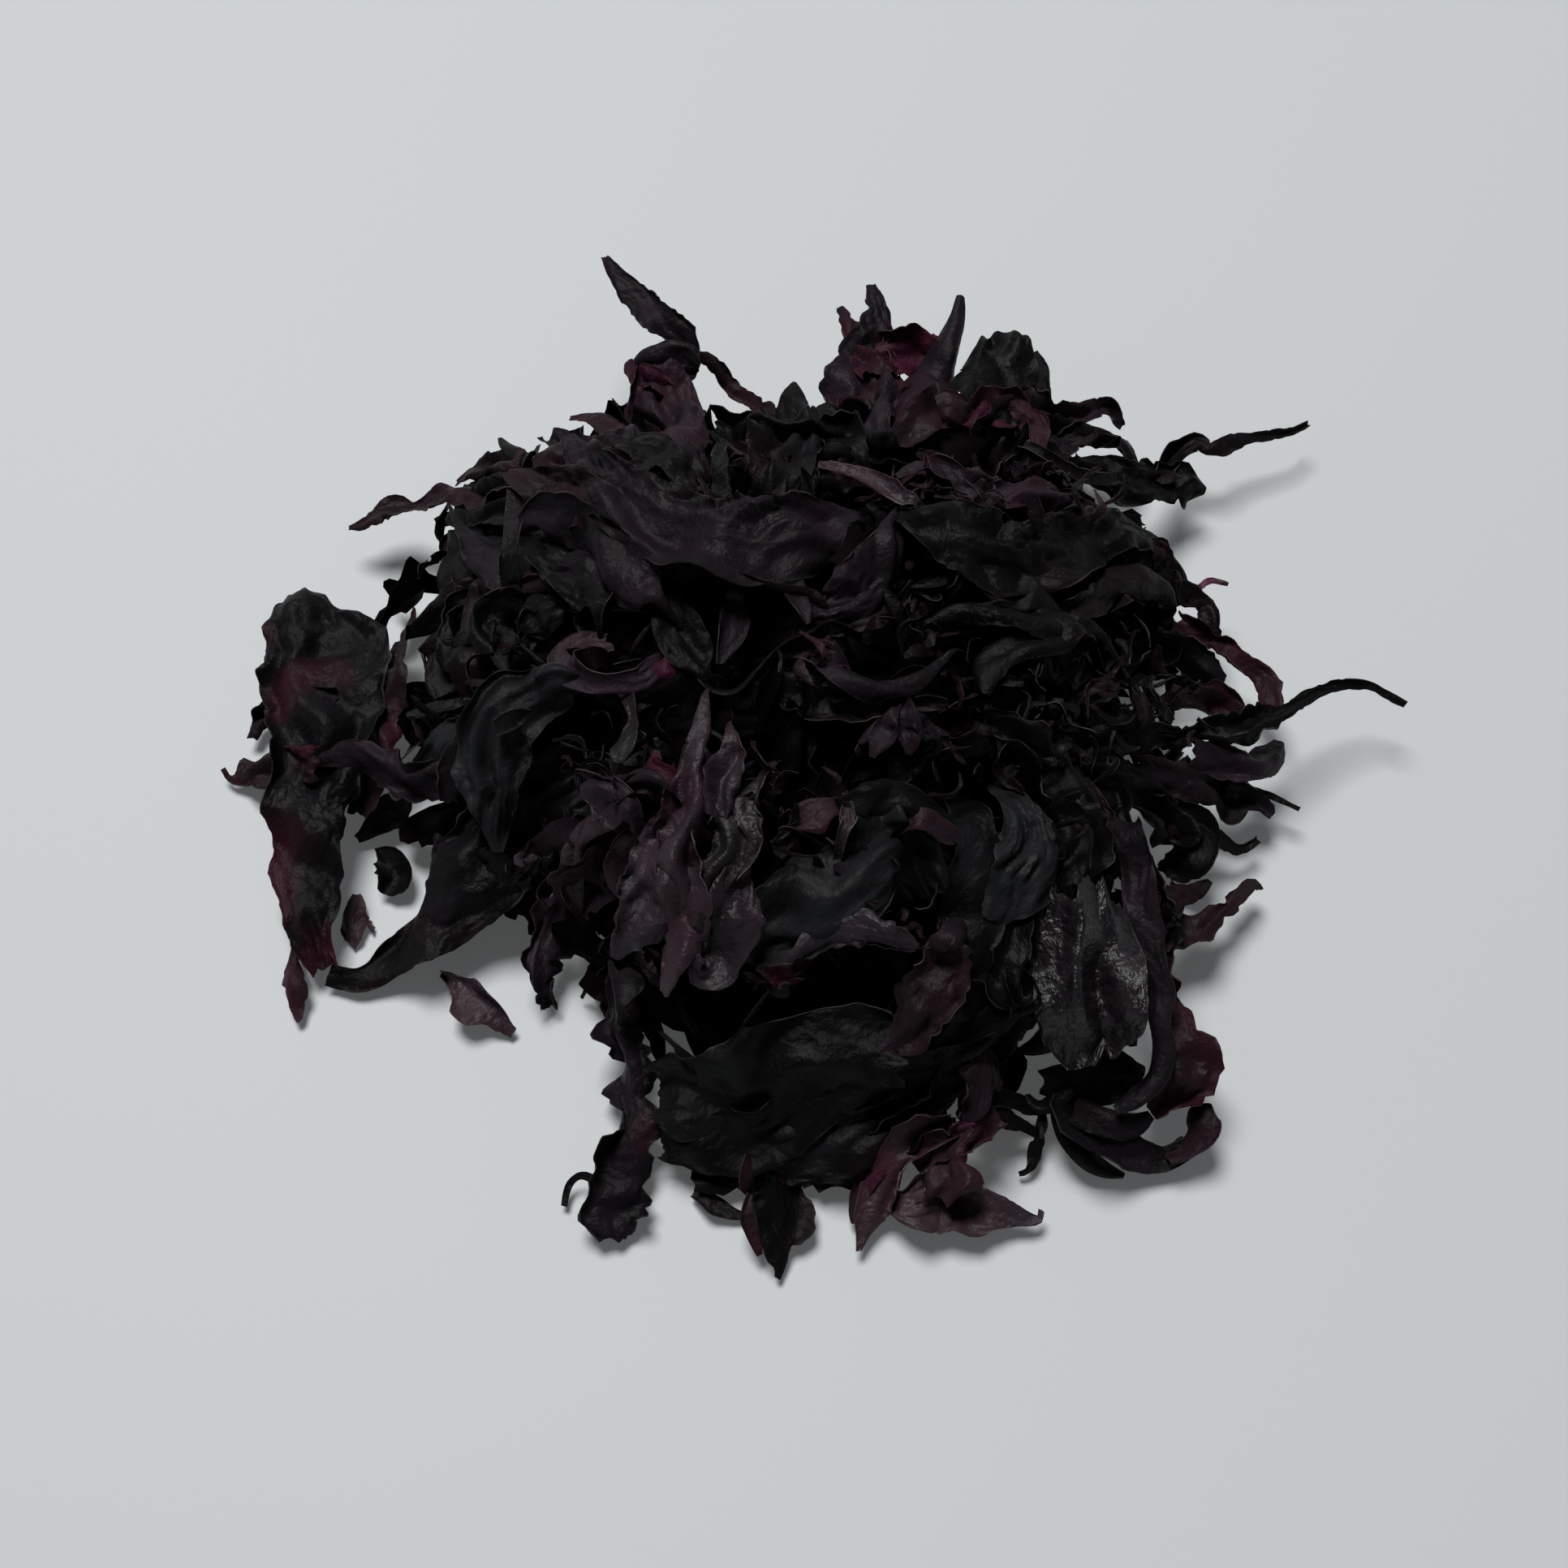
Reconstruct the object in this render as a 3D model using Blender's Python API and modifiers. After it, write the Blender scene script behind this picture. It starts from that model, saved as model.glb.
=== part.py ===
"""Dried dulse: a loose heap of dried dark red seaweed fronds, fused into one solid.

The heap is a mound-shaped core with a flat underside. Thin wavy fronds lie over it, hang down its
sides and run out over the surface it stands on. Units in the tables are millimetres.
"""
import math
import random
from typing import NamedTuple

import bmesh
import bpy
from mathutils import Matrix, Vector, noise

MM = 0.001                        # the tables are in millimetres, the scene in metres

# The mound under the fronds
MOUND_CENTRE = Vector((0.0, 17.0))
MOUND_REACH = (90, 103, 110, 84, 98, 104, 88, 68, 76, 103, 95, 98)  # every 30 degrees from +X
MOUND_HEIGHT = 52.0
MOUND_ROUNDING = 2.3              # the larger, the flatter the top and the steeper the side
CORE_SHARE = 0.90                 # the core's size, as a share of the mound's
CORE_UNEVEN = 0.13                # how far lumps push the core in and out
CORE_LUMPS = 3.5                  # lumps across the core
CORE_SIDES = 20
CORE_RINGS = 7

# How a frond's root is tucked into the core
TUCK_LENGTH = 17.0
TUCK_DEPTH = 7.0                  # how far below the core's surface it ends
TUCK_NARROWING = 0.7

# Fronds that hang down the mound's sides and back
HANGING_COUNT = 7
HANGING_BEARINGS = (-10.0, 190.0)  # degrees from +X, of the first and the last
HANGING_START = 0.42              # as shares of the mound's reach
HANGING_END = 1.04
HANGING_TURN = 16.0               # degrees that one drifts round the mound on its way down
HANGING_HALF_WIDTHS = (7.0, 12.0, 12.0, 5.0)
HANGING_LIFT = 3.0                # above the mound
HANGING_ROOT = 10.0               # how far below the mound's surface one starts

# A frond
THICKNESS = 1.1
CELL_LENGTH = 18.0                # one cell along a frond
CELL_WIDTH = 9.0                  # one cell across it
MOST_CELLS_ACROSS = 3
LOBE_DEPTH = 0.22                 # how far the lobes of an edge go in and out, as a share of width
RUFFLE_LENGTH = 17.0              # one wave along an edge
LOWEST_SHEET = 0.9                # the middle of a sheet that lies on the ground
FLAT_ANGLE = 1.5                  # degrees; faces flatter to each other than this are joined

# Where a height lifts a point, it moves along the line of sight from this point to the table's
# (x, y) at EYE_LEVEL, so that the fronds keep their outline from the front however high they lie.
EYE = Vector((0.0, -215.7, 388.6))
EYE_LEVEL = 5.0

# The whole heap moves by this, so that the middle of its length and width is at the origin.
SHIFT = Vector((-6.2, -18.1, 0.0))


class Frond(NamedTuple):
    """A frond: its spine from tip to root as (x, y, height, half width), and how it bends."""
    name: str
    spine: tuple
    roll: float = 0.0             # degrees turned about the spine, from lying on the mound
    curl: float = 30.0            # degrees through which the sheet bends across, edges up
    ruffle: float = 1.2           # height of the waves along its edges


FRONDS = (
    # left side, round the loop that lies furthest out
    Frond("left_great", ((-118, 61, 13, 3), (-115, 55, 16, 10), (-110, 42, 18, 17.5),
                         (-107, 20, 17, 13), (-108.5, 0, 15, 10), (-107, -18, 12, 9),
                         (-105, -32, 8, 6), (-101, -42, 5, 3.5)), curl=40),
    Frond("left_tongue", ((-98, -2, 9, 4), (-97, 12, 12, 6), (-97, 28, 15, 7),
                          (-96, 42, 15, 7), (-96, 54, 11, 5)), curl=20),
    Frond("left_arm", ((-101, -43, 4, 2.5), (-93, -44, 4, 3), (-85, -38, 6, 5.5),
                       (-77, -29, 10, 9.5), (-70, -17, 16, 12), (-60, -2, 22, 12),
                       (-48, 8, 26, 8))),
    Frond("left_tail", ((-105.5, -54, 2, 0.7), (-107.5, -46, 3, 3.8), (-109, -38, 4, 1.4),
                        (-107, -26, 9, 2)), curl=50, ruffle=0.4),
    Frond("left_cross", ((-110, 13, 18, 2), (-99, 13, 21, 5), (-90, 8, 21, 5.5),
                         (-78, 6, 24, 5))),
    Frond("left_lobe", ((-126, 18, 4, 1.5), (-124, 25, 6, 4.5), (-116, 28, 12, 4),
                        (-106, 29, 18, 3))),
    Frond("left_hook", ((-132, 10, 4, 0.7), (-129, 7, 3, 1.5), (-123, 10, 6, 6),
                        (-108, 12, 17, 5)), ruffle=0.5),
    Frond("left_rag", ((-98, -9, 3, 1.5), (-92, -3, 7, 5), (-90, 10, 20, 3))),
    Frond("left_spike", ((-111, 80.5, 14, 0.7), (-104, 84, 16, 2.5), (-96, 88.5, 18, 3.5),
                         (-87, 92.5, 21, 4.5), (-78, 96, 25, 7), (-62, 96, 33, 9)), curl=60),
    Frond("left_fin", ((-84, 87, 28, 1), (-80, 80, 30, 5), (-76, 70, 32, 8), (-72, 58, 33, 8)),
          roll=-20, curl=50),
    Frond("left_tent", ((-78, 58, 24, 6), (-73, 68, 32, 8), (-70, 80, 40, 6), (-66, 92, 44, 3)),
          roll=40, curl=60),
    Frond("left_edge", ((-88, 50, 15, 5), (-83, 62, 18, 6), (-84, 74, 16, 4)), curl=40),
    Frond("left_fold", ((-92, 42, 16, 4), (-82, 44, 24, 6), (-74, 46, 32, 7), (-62, 46, 40, 6)),
          roll=-15, curl=50),
    Frond("left_frayed", ((-70, -14, 20, 6), (-76, -4, 24, 12), (-75, 10, 33, 14),
                          (-66, 24, 42, 12), (-56, 36, 46, 7)), curl=20),

    # the back, with the spikes that stand up from it
    Frond("back_left_spike", ((-52, 174.5, 34, 0.7), (-47, 169, 33, 2.2), (-41, 161, 31, 4.2),
                              (-34, 151, 28, 6), (-30, 142, 26, 6), (-31, 130, 25, 10),
                              (-30, 112, 26, 13)), curl=70),
    Frond("back_left_leaf", ((-46, 139, 17, 2), (-42, 133, 20, 6), (-33, 130, 24, 8),
                             (-24, 127, 26, 8), (-18, 117, 28, 6)), roll=30, curl=40),
    Frond("back_left_red", ((-24, 140, 23, 1.8), (-18, 134, 18, 2.6), (-13, 127, 14, 2.6),
                            (-6, 120, 16, 2.5), (2, 112, 24, 5)), curl=50),
    Frond("back_left_low", ((-59, 117, 13, 1.2), (-52, 118, 17, 3.5), (-43, 119, 20, 5),
                            (-34, 114, 26, 7)), curl=40),
    Frond("back_left_ear", ((-75, 109, 16, 1), (-72, 103, 20, 4), (-66, 97, 26, 7),
                            (-58, 90, 36, 8)), curl=40),
    Frond("back_left_bank", ((-62, 110, 20, 3), (-55, 109, 25, 6), (-44, 107, 33, 8),
                             (-30, 102, 42, 9)), roll=-10, curl=40),
    Frond("back_peak", ((2, 128, 34, 1), (3, 121, 35, 4), (4, 113, 36, 8), (6, 102, 40, 11)),
          curl=60),
    Frond("back_bank", ((-20, 113, 36, 5), (-6, 108, 40, 8), (10, 108, 40, 9),
                        (26, 110, 40, 8)), roll=15),
    Frond("back_fork", ((24, 165, 30, 1.6), (26, 158, 30, 3.4), (24, 149, 28, 5),
                        (22, 138, 28, 9), (24, 122, 32, 12)), curl=40),
    Frond("back_prong", ((15, 156, 25, 1.2), (18, 150, 26, 2.5), (23, 142, 26, 5),
                         (26, 132, 28, 6)), curl=40),
    Frond("back_red", ((6, 128, 17, 2.5), (16, 133, 21, 7), (29, 138, 23, 8), (42, 137, 25, 6)),
          roll=30),
    Frond("back_spike", ((48.5, 160.5, 34, 1.2), (47, 151, 33, 3.5), (44, 142, 31, 6.5),
                         (41, 131, 30, 9), (38, 116, 34, 12)), curl=70),
    Frond("back_flag", ((62, 149, 26, 2.5), (62, 140, 27, 9), (61, 128, 28, 11),
                        (54, 114, 34, 12)), curl=20),
    Frond("back_right_lump", ((89, 118, 12, 1.2), (86, 124, 15, 3.5), (78, 122, 19, 4),
                              (68, 118, 25, 6), (58, 112, 33, 8)), curl=60),
    Frond("back_right_low", ((90, 100, 12, 2), (85, 107, 14, 5), (78, 111, 19, 6),
                             (66, 108, 28, 7)), curl=40),
    Frond("back_strip", ((83, 84, 33, 3), (72, 87, 41, 5), (60, 90, 47, 6), (48, 94, 51, 5),
                         (36, 99, 50, 3)), roll=-10, curl=40),

    # right side
    Frond("right_band", ((108, 93, 12, 1.2), (104, 95.5, 14, 4.5), (96, 95.5, 17, 5.5),
                         (87, 95, 20, 5.5), (78, 99, 25, 6), (66, 103, 33, 4)), curl=70),
    Frond("right_wisp", ((138, 115, 10, 0.7), (134, 112.5, 11, 1.3), (127, 111, 13, 1.6),
                         (118, 109, 15, 2.2), (111, 106.5, 16, 2.6), (107, 109, 17, 4),
                         (102, 105, 16, 3.5), (98, 95, 17, 3)), curl=60, ruffle=0.5),
    Frond("right_shoulder", ((95, 54, 18, 5), (93, 64, 23, 7), (86, 72, 31, 8),
                             (70, 73, 42, 9), (52, 74, 49, 9), (34, 78, 52, 6)), curl=50),
    Frond("right_lobe", ((104, 44, 12, 2), (104, 50, 14, 3), (103, 58, 16, 3.6),
                         (92, 60, 22, 4)), curl=40),
    Frond("right_loop", ((115, 21, 14, 2), (119.5, 28, 12, 3.5), (119, 35.5, 13, 4),
                         (113, 41, 15, 4.5), (106, 47, 17, 5), (94, 54, 20, 4)), curl=60),
    Frond("right_inner", ((112, 24, 13, 1.6), (109, 31, 12, 4), (103, 38, 16, 6),
                          (90, 44, 22, 5)), curl=40),
    Frond("right_spike", ((149, 28, 15, 0.8), (141, 33, 17, 1.6), (132, 32.5, 20, 1.6),
                          (123, 29, 22, 2), (117, 24.5, 23, 3.2), (110, 23.5, 24, 3.5),
                          (100, 21, 25, 3.2), (88, 19.5, 26, 3.2), (72, 18, 28, 4)),
          curl=70, ruffle=0.5),
    Frond("right_petal", ((118, 9, 12, 2), (115, 15, 15, 6.5), (106, 14, 18, 6),
                          (90, 17, 22, 4)), curl=40),
    Frond("right_fan", ((113, -3, 8, 1.5), (109, 3, 11, 6.5), (100, 6, 16, 7), (84, 8, 24, 5)),
          curl=40),
    Frond("right_twig", ((120, -1, 8, 0.8), (113, 3, 10, 1), (104, 5, 14, 2)), ruffle=0.2),
    Frond("right_dark", ((86, -18, 9, 3), (93, -11, 12, 6.5), (90, -3, 18, 8), (78, 6, 28, 6)),
          curl=50),
    Frond("right_claw", ((109, -9, 7, 1.2), (104, -11.5, 7, 2), (99, -8.5, 10, 2.6),
                         (88, -6, 15, 4)), curl=50, ruffle=0.3),
    Frond("right_wave", ((82, -42, 12, 3), (86, -33, 14, 4.5), (83, -24, 19, 4.5),
                         (79, -12, 25, 4.5), (76, 4, 30, 4)), roll=-30, curl=40, ruffle=2),
    Frond("right_barb", ((98, -19.5, 10, 1.2), (88, -25, 13, 5.5), (76, -26, 17, 5))),
    Frond("right_horn", ((108, -22, 8, 1.2), (106, -20.5, 8, 2.4), (100, -27, 9, 2.8),
                         (90, -33, 12, 5.5), (76, -32, 16, 5)), curl=50),

    # front right: the glossy frond and the curl below it
    Frond("glossy", ((68, -66, 12, 4), (66, -60, 15, 9), (69, -50, 20, 11.5),
                     (70.5, -38, 25, 11.5), (71, -25, 29, 9), (70, -14, 30, 5)), curl=40),
    Frond("glossy_ear", ((52, -61, 9, 1), (57, -57, 13, 3.5), (64, -48, 20, 6))),
    Frond("curl_drop", ((74, -74, 8, 4), (82, -73, 7, 5), (87, -66, 9, 7), (87, -56, 12, 7),
                        (84, -46, 15, 5), (78, -32, 18, 4)), roll=-15, curl=50),
    Frond("curl_ring", ((90, -70, 8, 2.5), (92, -77, 6, 3.2), (88, -83, 5, 3.8),
                        (80, -86, 5, 4.2), (72, -84, 6, 5.5), (65, -78, 8, 7),
                        (61, -69, 10, 6), (67, -56, 14, 4)), curl=60),
    Frond("curl_back", ((88, -65, 10, 4), (78, -65, 11, 5), (66, -66, 11, 6),
                        (54, -66, 8, 3.5)), curl=40),

    # front
    Frond("front_fold", ((-27, -69, 13, 8), (-16, -69, 18, 10), (-2, -66, 22, 12),
                         (14, -61, 26, 11), (30, -55, 30, 8)), curl=40, ruffle=2),
    Frond("front_layer", ((-25, -80, 7, 5), (-14, -82, 9, 7), (0, -82, 10, 8),
                          (14, -81, 11, 8), (27, -74, 14, 7), (38, -62, 18, 6)), curl=40),
    Frond("front_hem", ((-19, -90, 4, 3), (-8, -88, 6, 5), (4, -87, 6, 5), (17, -87, 6, 4.5),
                        (28, -78, 8, 5))),
    Frond("front_leaf", ((-1.5, -110, 2, 0.7), (-2, -103, 3, 4.5), (-1, -95, 5, 7.5),
                         (0, -80, 9, 5)), curl=40, ruffle=0.6),
    Frond("front_strand", ((22, -80, 10, 5), (32, -70, 15, 6), (44, -60, 20, 6),
                           (55, -48, 27, 5), (57, -36, 32, 4)), curl=60),
    Frond("front_crinkle", ((-34, -104, 3, 3.5), (-34.5, -96, 5, 6.5), (-31, -87, 6, 6),
                            (-32, -76, 8, 6), (-35, -64, 10, 6.5), (-36, -50, 13, 7),
                            (-36, -36, 22, 6)), curl=60, ruffle=2.2),
    Frond("front_tendril", ((-47, -96, 3, 0.8), (-45, -91, 4, 0.9), (-41, -89, 5, 0.9),
                            (-33, -91, 6, 1)), curl=0, ruffle=0),
    Frond("front_clump", ((-49, -50, 4, 2), (-52, -41, 8, 5.5), (-51, -33, 13, 5),
                          (-43, -20, 28, 6)), curl=60),
    Frond("front_brown", ((-45, -52, 8, 4), (-43, -42, 15, 5), (-44, -30, 24, 6),
                          (-38, -14, 40, 6)), curl=50),
    Frond("red_mass", ((22, -84, 8, 4), (32, -78, 11, 5), (42, -71, 13, 6), (45, -60, 17, 5)),
          roll=-20, curl=50, ruffle=1.8),
    Frond("red_strip", ((15.5, -105, 3, 1), (18, -94, 5, 3.6), (23, -86, 8, 4),
                        (31, -76, 12, 4)), curl=40),
    Frond("red_leaf", ((22, -94, 4, 1.5), (28, -96, 5, 3.4), (35, -96, 6, 5), (42, -95.5, 6, 4.6),
                       (48, -97.5, 5, 2.6), (54, -99, 4, 0.8)), curl=50),
    Frond("red_stem", ((36, -97, 6, 4), (38, -87, 9, 3.5), (38, -74, 13, 4)), curl=60),
    Frond("dark_branch", ((52, -88, 3, 0.9), (55, -84, 4, 1.6), (56.5, -78, 6, 2),
                          (52, -74.5, 8, 2.6), (46, -73, 10, 3.2), (36, -72, 14, 5)),
          curl=50, ruffle=0.5),

    # over the top of the mound
    Frond("crown", ((-58, 92, 46, 5), (-46, 90, 55, 9), (-30, 84, 61, 12), (-12, 77, 63, 12),
                    (4, 78, 62, 11), (16, 86, 56, 6)), ruffle=3),
    Frond("crown_drape", ((-13, 31, 53, 4), (-15, 41, 56, 9), (-18, 52, 58, 9),
                          (-22, 66, 58, 7)), curl=-50, ruffle=2),
    Frond("crown_left", ((-27, 52, 55, 4), (-36, 66, 57, 8), (-48, 76, 54, 8), (-62, 83, 48, 6),
                         (-74, 86, 38, 3)), curl=-60),
    Frond("crown_right", ((0, 48, 56, 5), (8, 55, 59, 9), (16, 64, 61, 9), (23, 75, 61, 6),
                          (30, 86, 56, 2)), curl=-40),
    Frond("curl_loop", ((-32, 41, 49, 2), (-40, 36, 51, 3), (-48, 36, 52, 4), (-53, 41, 53, 5),
                        (-50, 47, 54, 4), (-40, 46, 53, 3)), roll=40, curl=60),
    Frond("purple_frond", ((-28, -45, 36, 2), (-31, -37, 41, 8.5), (-30, -25, 48, 9),
                           (-27, -12, 53, 7.5), (-24, 2, 57, 5), (-20, 16, 59, 3),
                           (-19, 28, 57, 1)), ruffle=1.6),
    Frond("purple_strip", ((-17, -44, 37, 2), (-15, -35, 43, 5), (-15, -23, 49, 5),
                           (-17, -10, 54, 4), (-16, 2, 57, 3.2), (-12, 13, 59, 2.6),
                           (-10, 24, 57, 1)), curl=50),
    Frond("mid_dark", ((38, -21, 43, 5), (31, -10, 50, 8), (20, -3, 54, 9), (6, -4, 54, 7)),
          ruffle=2),
    Frond("mid_sheet", ((-8, -38, 40, 5), (0, -30, 46, 8), (12, -24, 48, 9), (26, -22, 46, 7)),
          curl=40, ruffle=2),
    Frond("light_leaf", ((31, -32, 41, 1.5), (25, -35, 42, 4.5), (16, -33, 43, 5.5),
                         (8, -36, 41, 5), (0, -41, 37, 3)), roll=-20, curl=60),
    Frond("strands", ((26, -61, 24, 4), (37, -48, 32, 7), (46, -33, 38, 8), (51, -16, 44, 8),
                      (50, 0, 46, 5)), curl=40, ruffle=1.8),
    Frond("right_curled", ((84, 34, 30, 6), (72, 32, 40, 7), (60, 34, 47, 5)), curl=60,
          ruffle=2),
)


def mound_reach(bearing):
    """How far the mound reaches from its centre at a bearing in radians from +X."""
    at = (bearing % math.tau) / math.tau * len(MOUND_REACH)
    i = int(at) % len(MOUND_REACH)
    blend = (1.0 - math.cos(math.pi * (at - int(at)))) / 2.0
    return MOUND_REACH[i] * (1.0 - blend) + MOUND_REACH[(i + 1) % len(MOUND_REACH)] * blend


def mound_profile(share):
    """The mound's height at a share of its reach, as a share of its height at the middle."""
    return max(0.0, 1.0 - share ** MOUND_ROUNDING) ** 0.75


def mound_share(x, y):
    """How far out a point is, as a share of the mound's reach that way."""
    offset = Vector((x, y)) - MOUND_CENTRE
    return offset.length / mound_reach(math.atan2(offset.y, offset.x))


def mound_height(x, y):
    """The height of the mound above the ground."""
    return MOUND_HEIGHT * mound_profile(mound_share(x, y))


def core_height(x, y):
    """The height of the core above the ground, without its lumps."""
    return MOUND_HEIGHT * CORE_SHARE * mound_profile(mound_share(x, y) / CORE_SHARE)


def mound_outward(x, y):
    """The direction that points out of the mound's surface."""
    step = 4.0
    slope_x = (mound_height(x + step, y) - mound_height(x - step, y)) / (2 * step)
    slope_y = (mound_height(x, y + step) - mound_height(x, y - step)) / (2 * step)
    return Vector((-slope_x, -slope_y, 1.0)).normalized()


def lift(x, y, z):
    """The point at height z on the line of sight to (x, y)."""
    ground = Vector((x, y, EYE_LEVEL))
    return EYE + (ground - EYE) * ((EYE.z - z) / (EYE.z - EYE_LEVEL))


def frond_knots(frond):
    """A frond's spine with its heights worked in, as (x, y, z, half width).

    A root that lies clear over the core goes on and dips into it.
    """
    knots = [Vector((*lift(x, y, z), half)) for x, y, z, half in frond.spine]
    before, root = knots[-2:]
    if 0.0 < core_height(root.x, root.y) < root.z:
        onward = root.xy + (root.xy - before.xy).normalized() * TUCK_LENGTH
        depth = core_height(*onward) - TUCK_DEPTH
        knots.append(Vector((*onward, max(TUCK_DEPTH, depth), root.w * TUCK_NARROWING)))
    return knots


def smooth_path(knots, share):
    """A point on the Catmull-Rom curve through the knots, at a share from 0 to 1 of its spans."""
    at = share * (len(knots) - 1)
    i = min(int(at), len(knots) - 2)
    t = at - i
    a, b, c, d = (knots[max(0, min(len(knots) - 1, k))] for k in (i - 1, i, i + 1, i + 2))
    return 0.5 * ((2 * b) + (c - a) * t + (2 * a - 5 * b + 4 * c - d) * t ** 2
                  + (3 * b - a - 3 * c + d) * t ** 3)


def frond_point(frond, knots, along, across, rng_phase):
    """The point of a frond's sheet at along (0 to 1) and across (-1 to 1)."""
    here = smooth_path(knots, along)
    centre, half_width = here.to_3d(), max(0.5, here.w)
    step = 0.02
    ahead = smooth_path(knots, min(1.0, along + step)).to_3d()
    behind = smooth_path(knots, max(0.0, along - step)).to_3d()
    forward = (ahead - behind).normalized()
    outward = mound_outward(centre.x, centre.y)
    outward = (outward - forward * outward.dot(forward)).normalized()
    outward = Matrix.Rotation(math.radians(frond.roll), 3, forward) @ outward
    sideways = forward.cross(outward)

    length = sum((b.to_3d() - a.to_3d()).length for a, b in zip(knots, knots[1:]))
    travelled = along * length
    lobe = noise.noise(Vector((travelled / 11.0, across * 3.0, rng_phase)))
    reach = half_width * (1.0 + LOBE_DEPTH * 2 * lobe * abs(across))
    bend = math.radians(frond.curl)
    if abs(bend) > 0.01:
        over = math.sin(bend * across) / bend
        up = (1.0 - math.cos(bend * across)) / bend
    else:
        over, up = across, 0.0
    wave = math.sin(math.tau * travelled / RUFFLE_LENGTH + rng_phase + across)
    swell = noise.noise(Vector((travelled / 20.0, across, rng_phase + 7.0)))
    ripple = frond.ruffle * min(1.0, half_width / 5.0) * (wave * across ** 2 + swell)
    point = centre + sideways * (over * reach) + outward * (up * reach + ripple)
    point.z = LOWEST_SHEET + abs(point.z - LOWEST_SHEET)
    return point


def hanging_fronds():
    """Fronds that run down the mound's sides and back, with their knots in place."""
    draw = random.Random(11)
    first, last = (math.radians(bearing) for bearing in HANGING_BEARINGS)
    for number in range(HANGING_COUNT):
        bearing = first + (last - first) * (number + draw.uniform(-0.2, 0.2)) / (HANGING_COUNT - 1)
        turn = math.radians(draw.uniform(-HANGING_TURN, HANGING_TURN))
        knots = []
        for i, half_width in enumerate(HANGING_HALF_WIDTHS):
            down = i / (len(HANGING_HALF_WIDTHS) - 1)
            share = HANGING_START + (HANGING_END - HANGING_START) * down
            heading = bearing + turn * down
            out = share * mound_reach(heading)
            x = MOUND_CENTRE.x + out * math.cos(heading)
            y = MOUND_CENTRE.y + out * math.sin(heading)
            rise = HANGING_LIFT if i else -HANGING_ROOT
            knots.append(Vector((x, y, mound_height(x, y) + rise, half_width)))
        yield Frond(f"hanging_{number + 1}", (), curl=draw.uniform(-50, 50), ruffle=2.0), knots


def make_frond(frond, knots, seed, collection):
    """One frond: a grid bent along its spine, split into triangles and given its thickness."""
    length = sum((b.to_3d() - a.to_3d()).length for a, b in zip(knots, knots[1:]))
    widest = max(knot.w for knot in knots)
    cells_along = max(3, round(length / CELL_LENGTH))
    cells_across = max(2, min(MOST_CELLS_ACROSS, round(2 * widest / CELL_WIDTH)))
    phase = random.Random(seed).uniform(0.0, 50.0)

    bm = bmesh.new()
    bmesh.ops.create_grid(bm, x_segments=cells_along, y_segments=cells_across, size=1.0)
    for vert in bm.verts:
        along, across = (vert.co.x + 1.0) / 2.0, vert.co.y
        vert.co = (frond_point(frond, knots, along, across, phase) + SHIFT) * MM
    bmesh.ops.triangulate(bm, faces=bm.faces[:])
    mesh = bpy.data.meshes.new(frond.name)
    bm.to_mesh(mesh)
    bm.free()
    obj = bpy.data.objects.new(frond.name, mesh)
    collection.objects.link(obj)
    solidify = obj.modifiers.new("thickness", "SOLIDIFY")
    solidify.thickness = THICKNESS * MM
    solidify.offset = 0.0


def make_core(collection):
    """The mound inside the heap: the upper half of a ball, made lumpy, on a flat underside."""
    bm = bmesh.new()
    bmesh.ops.create_uvsphere(bm, u_segments=CORE_SIDES, v_segments=2 * CORE_RINGS, radius=1.0)
    below = [vert for vert in bm.verts if vert.co.z < -0.5 / CORE_RINGS]
    bmesh.ops.delete(bm, geom=below, context="VERTS")
    bmesh.ops.contextual_create(bm, geom=[edge for edge in bm.edges if edge.is_boundary])
    for vert in bm.verts:
        ball = vert.co.copy()
        size = CORE_SHARE * (1.0 + CORE_UNEVEN * noise.noise(ball * CORE_LUMPS))
        reach = mound_reach(math.atan2(ball.y, ball.x)) * size
        height = MOUND_HEIGHT * size * mound_profile(ball.xy.length)
        vert.co = Vector((MOUND_CENTRE.x + ball.x * reach, MOUND_CENTRE.y + ball.y * reach,
                          height))
        vert.co = (vert.co + SHIFT) * MM
    bmesh.ops.recalc_face_normals(bm, faces=bm.faces[:])
    mesh = bpy.data.meshes.new("dulse_heap")
    bm.to_mesh(mesh)
    bm.free()
    obj = bpy.data.objects.new("dulse_heap", mesh)
    collection.objects.link(obj)
    return obj


def applied(obj):
    """The object's mesh with its modifiers worked in."""
    bpy.context.view_layer.update()
    evaluated = obj.evaluated_get(bpy.context.evaluated_depsgraph_get())
    return bpy.data.meshes.new_from_object(evaluated)


def keep_largest_shell(bm):
    """Delete every loose shell but the one that holds the most, which also fills hollows."""
    shells, seen = [], set()
    for start in bm.faces:
        if start in seen:
            continue
        shell, queue = [], [start]
        seen.add(start)
        while queue:
            face = queue.pop()
            shell.append(face)
            for edge in face.edges:
                for other in edge.link_faces:
                    if other not in seen:
                        seen.add(other)
                        queue.append(other)
        shells.append(shell)

    def volume(shell):
        total = 0.0
        for face in shell:
            total += face.calc_center_median().dot(face.normal) * face.calc_area() / 3.0
        return total
    shells.sort(key=volume)
    loose = [face for shell in shells[:-1] for face in shell]
    bmesh.ops.delete(bm, geom=loose, context="FACES")


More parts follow.
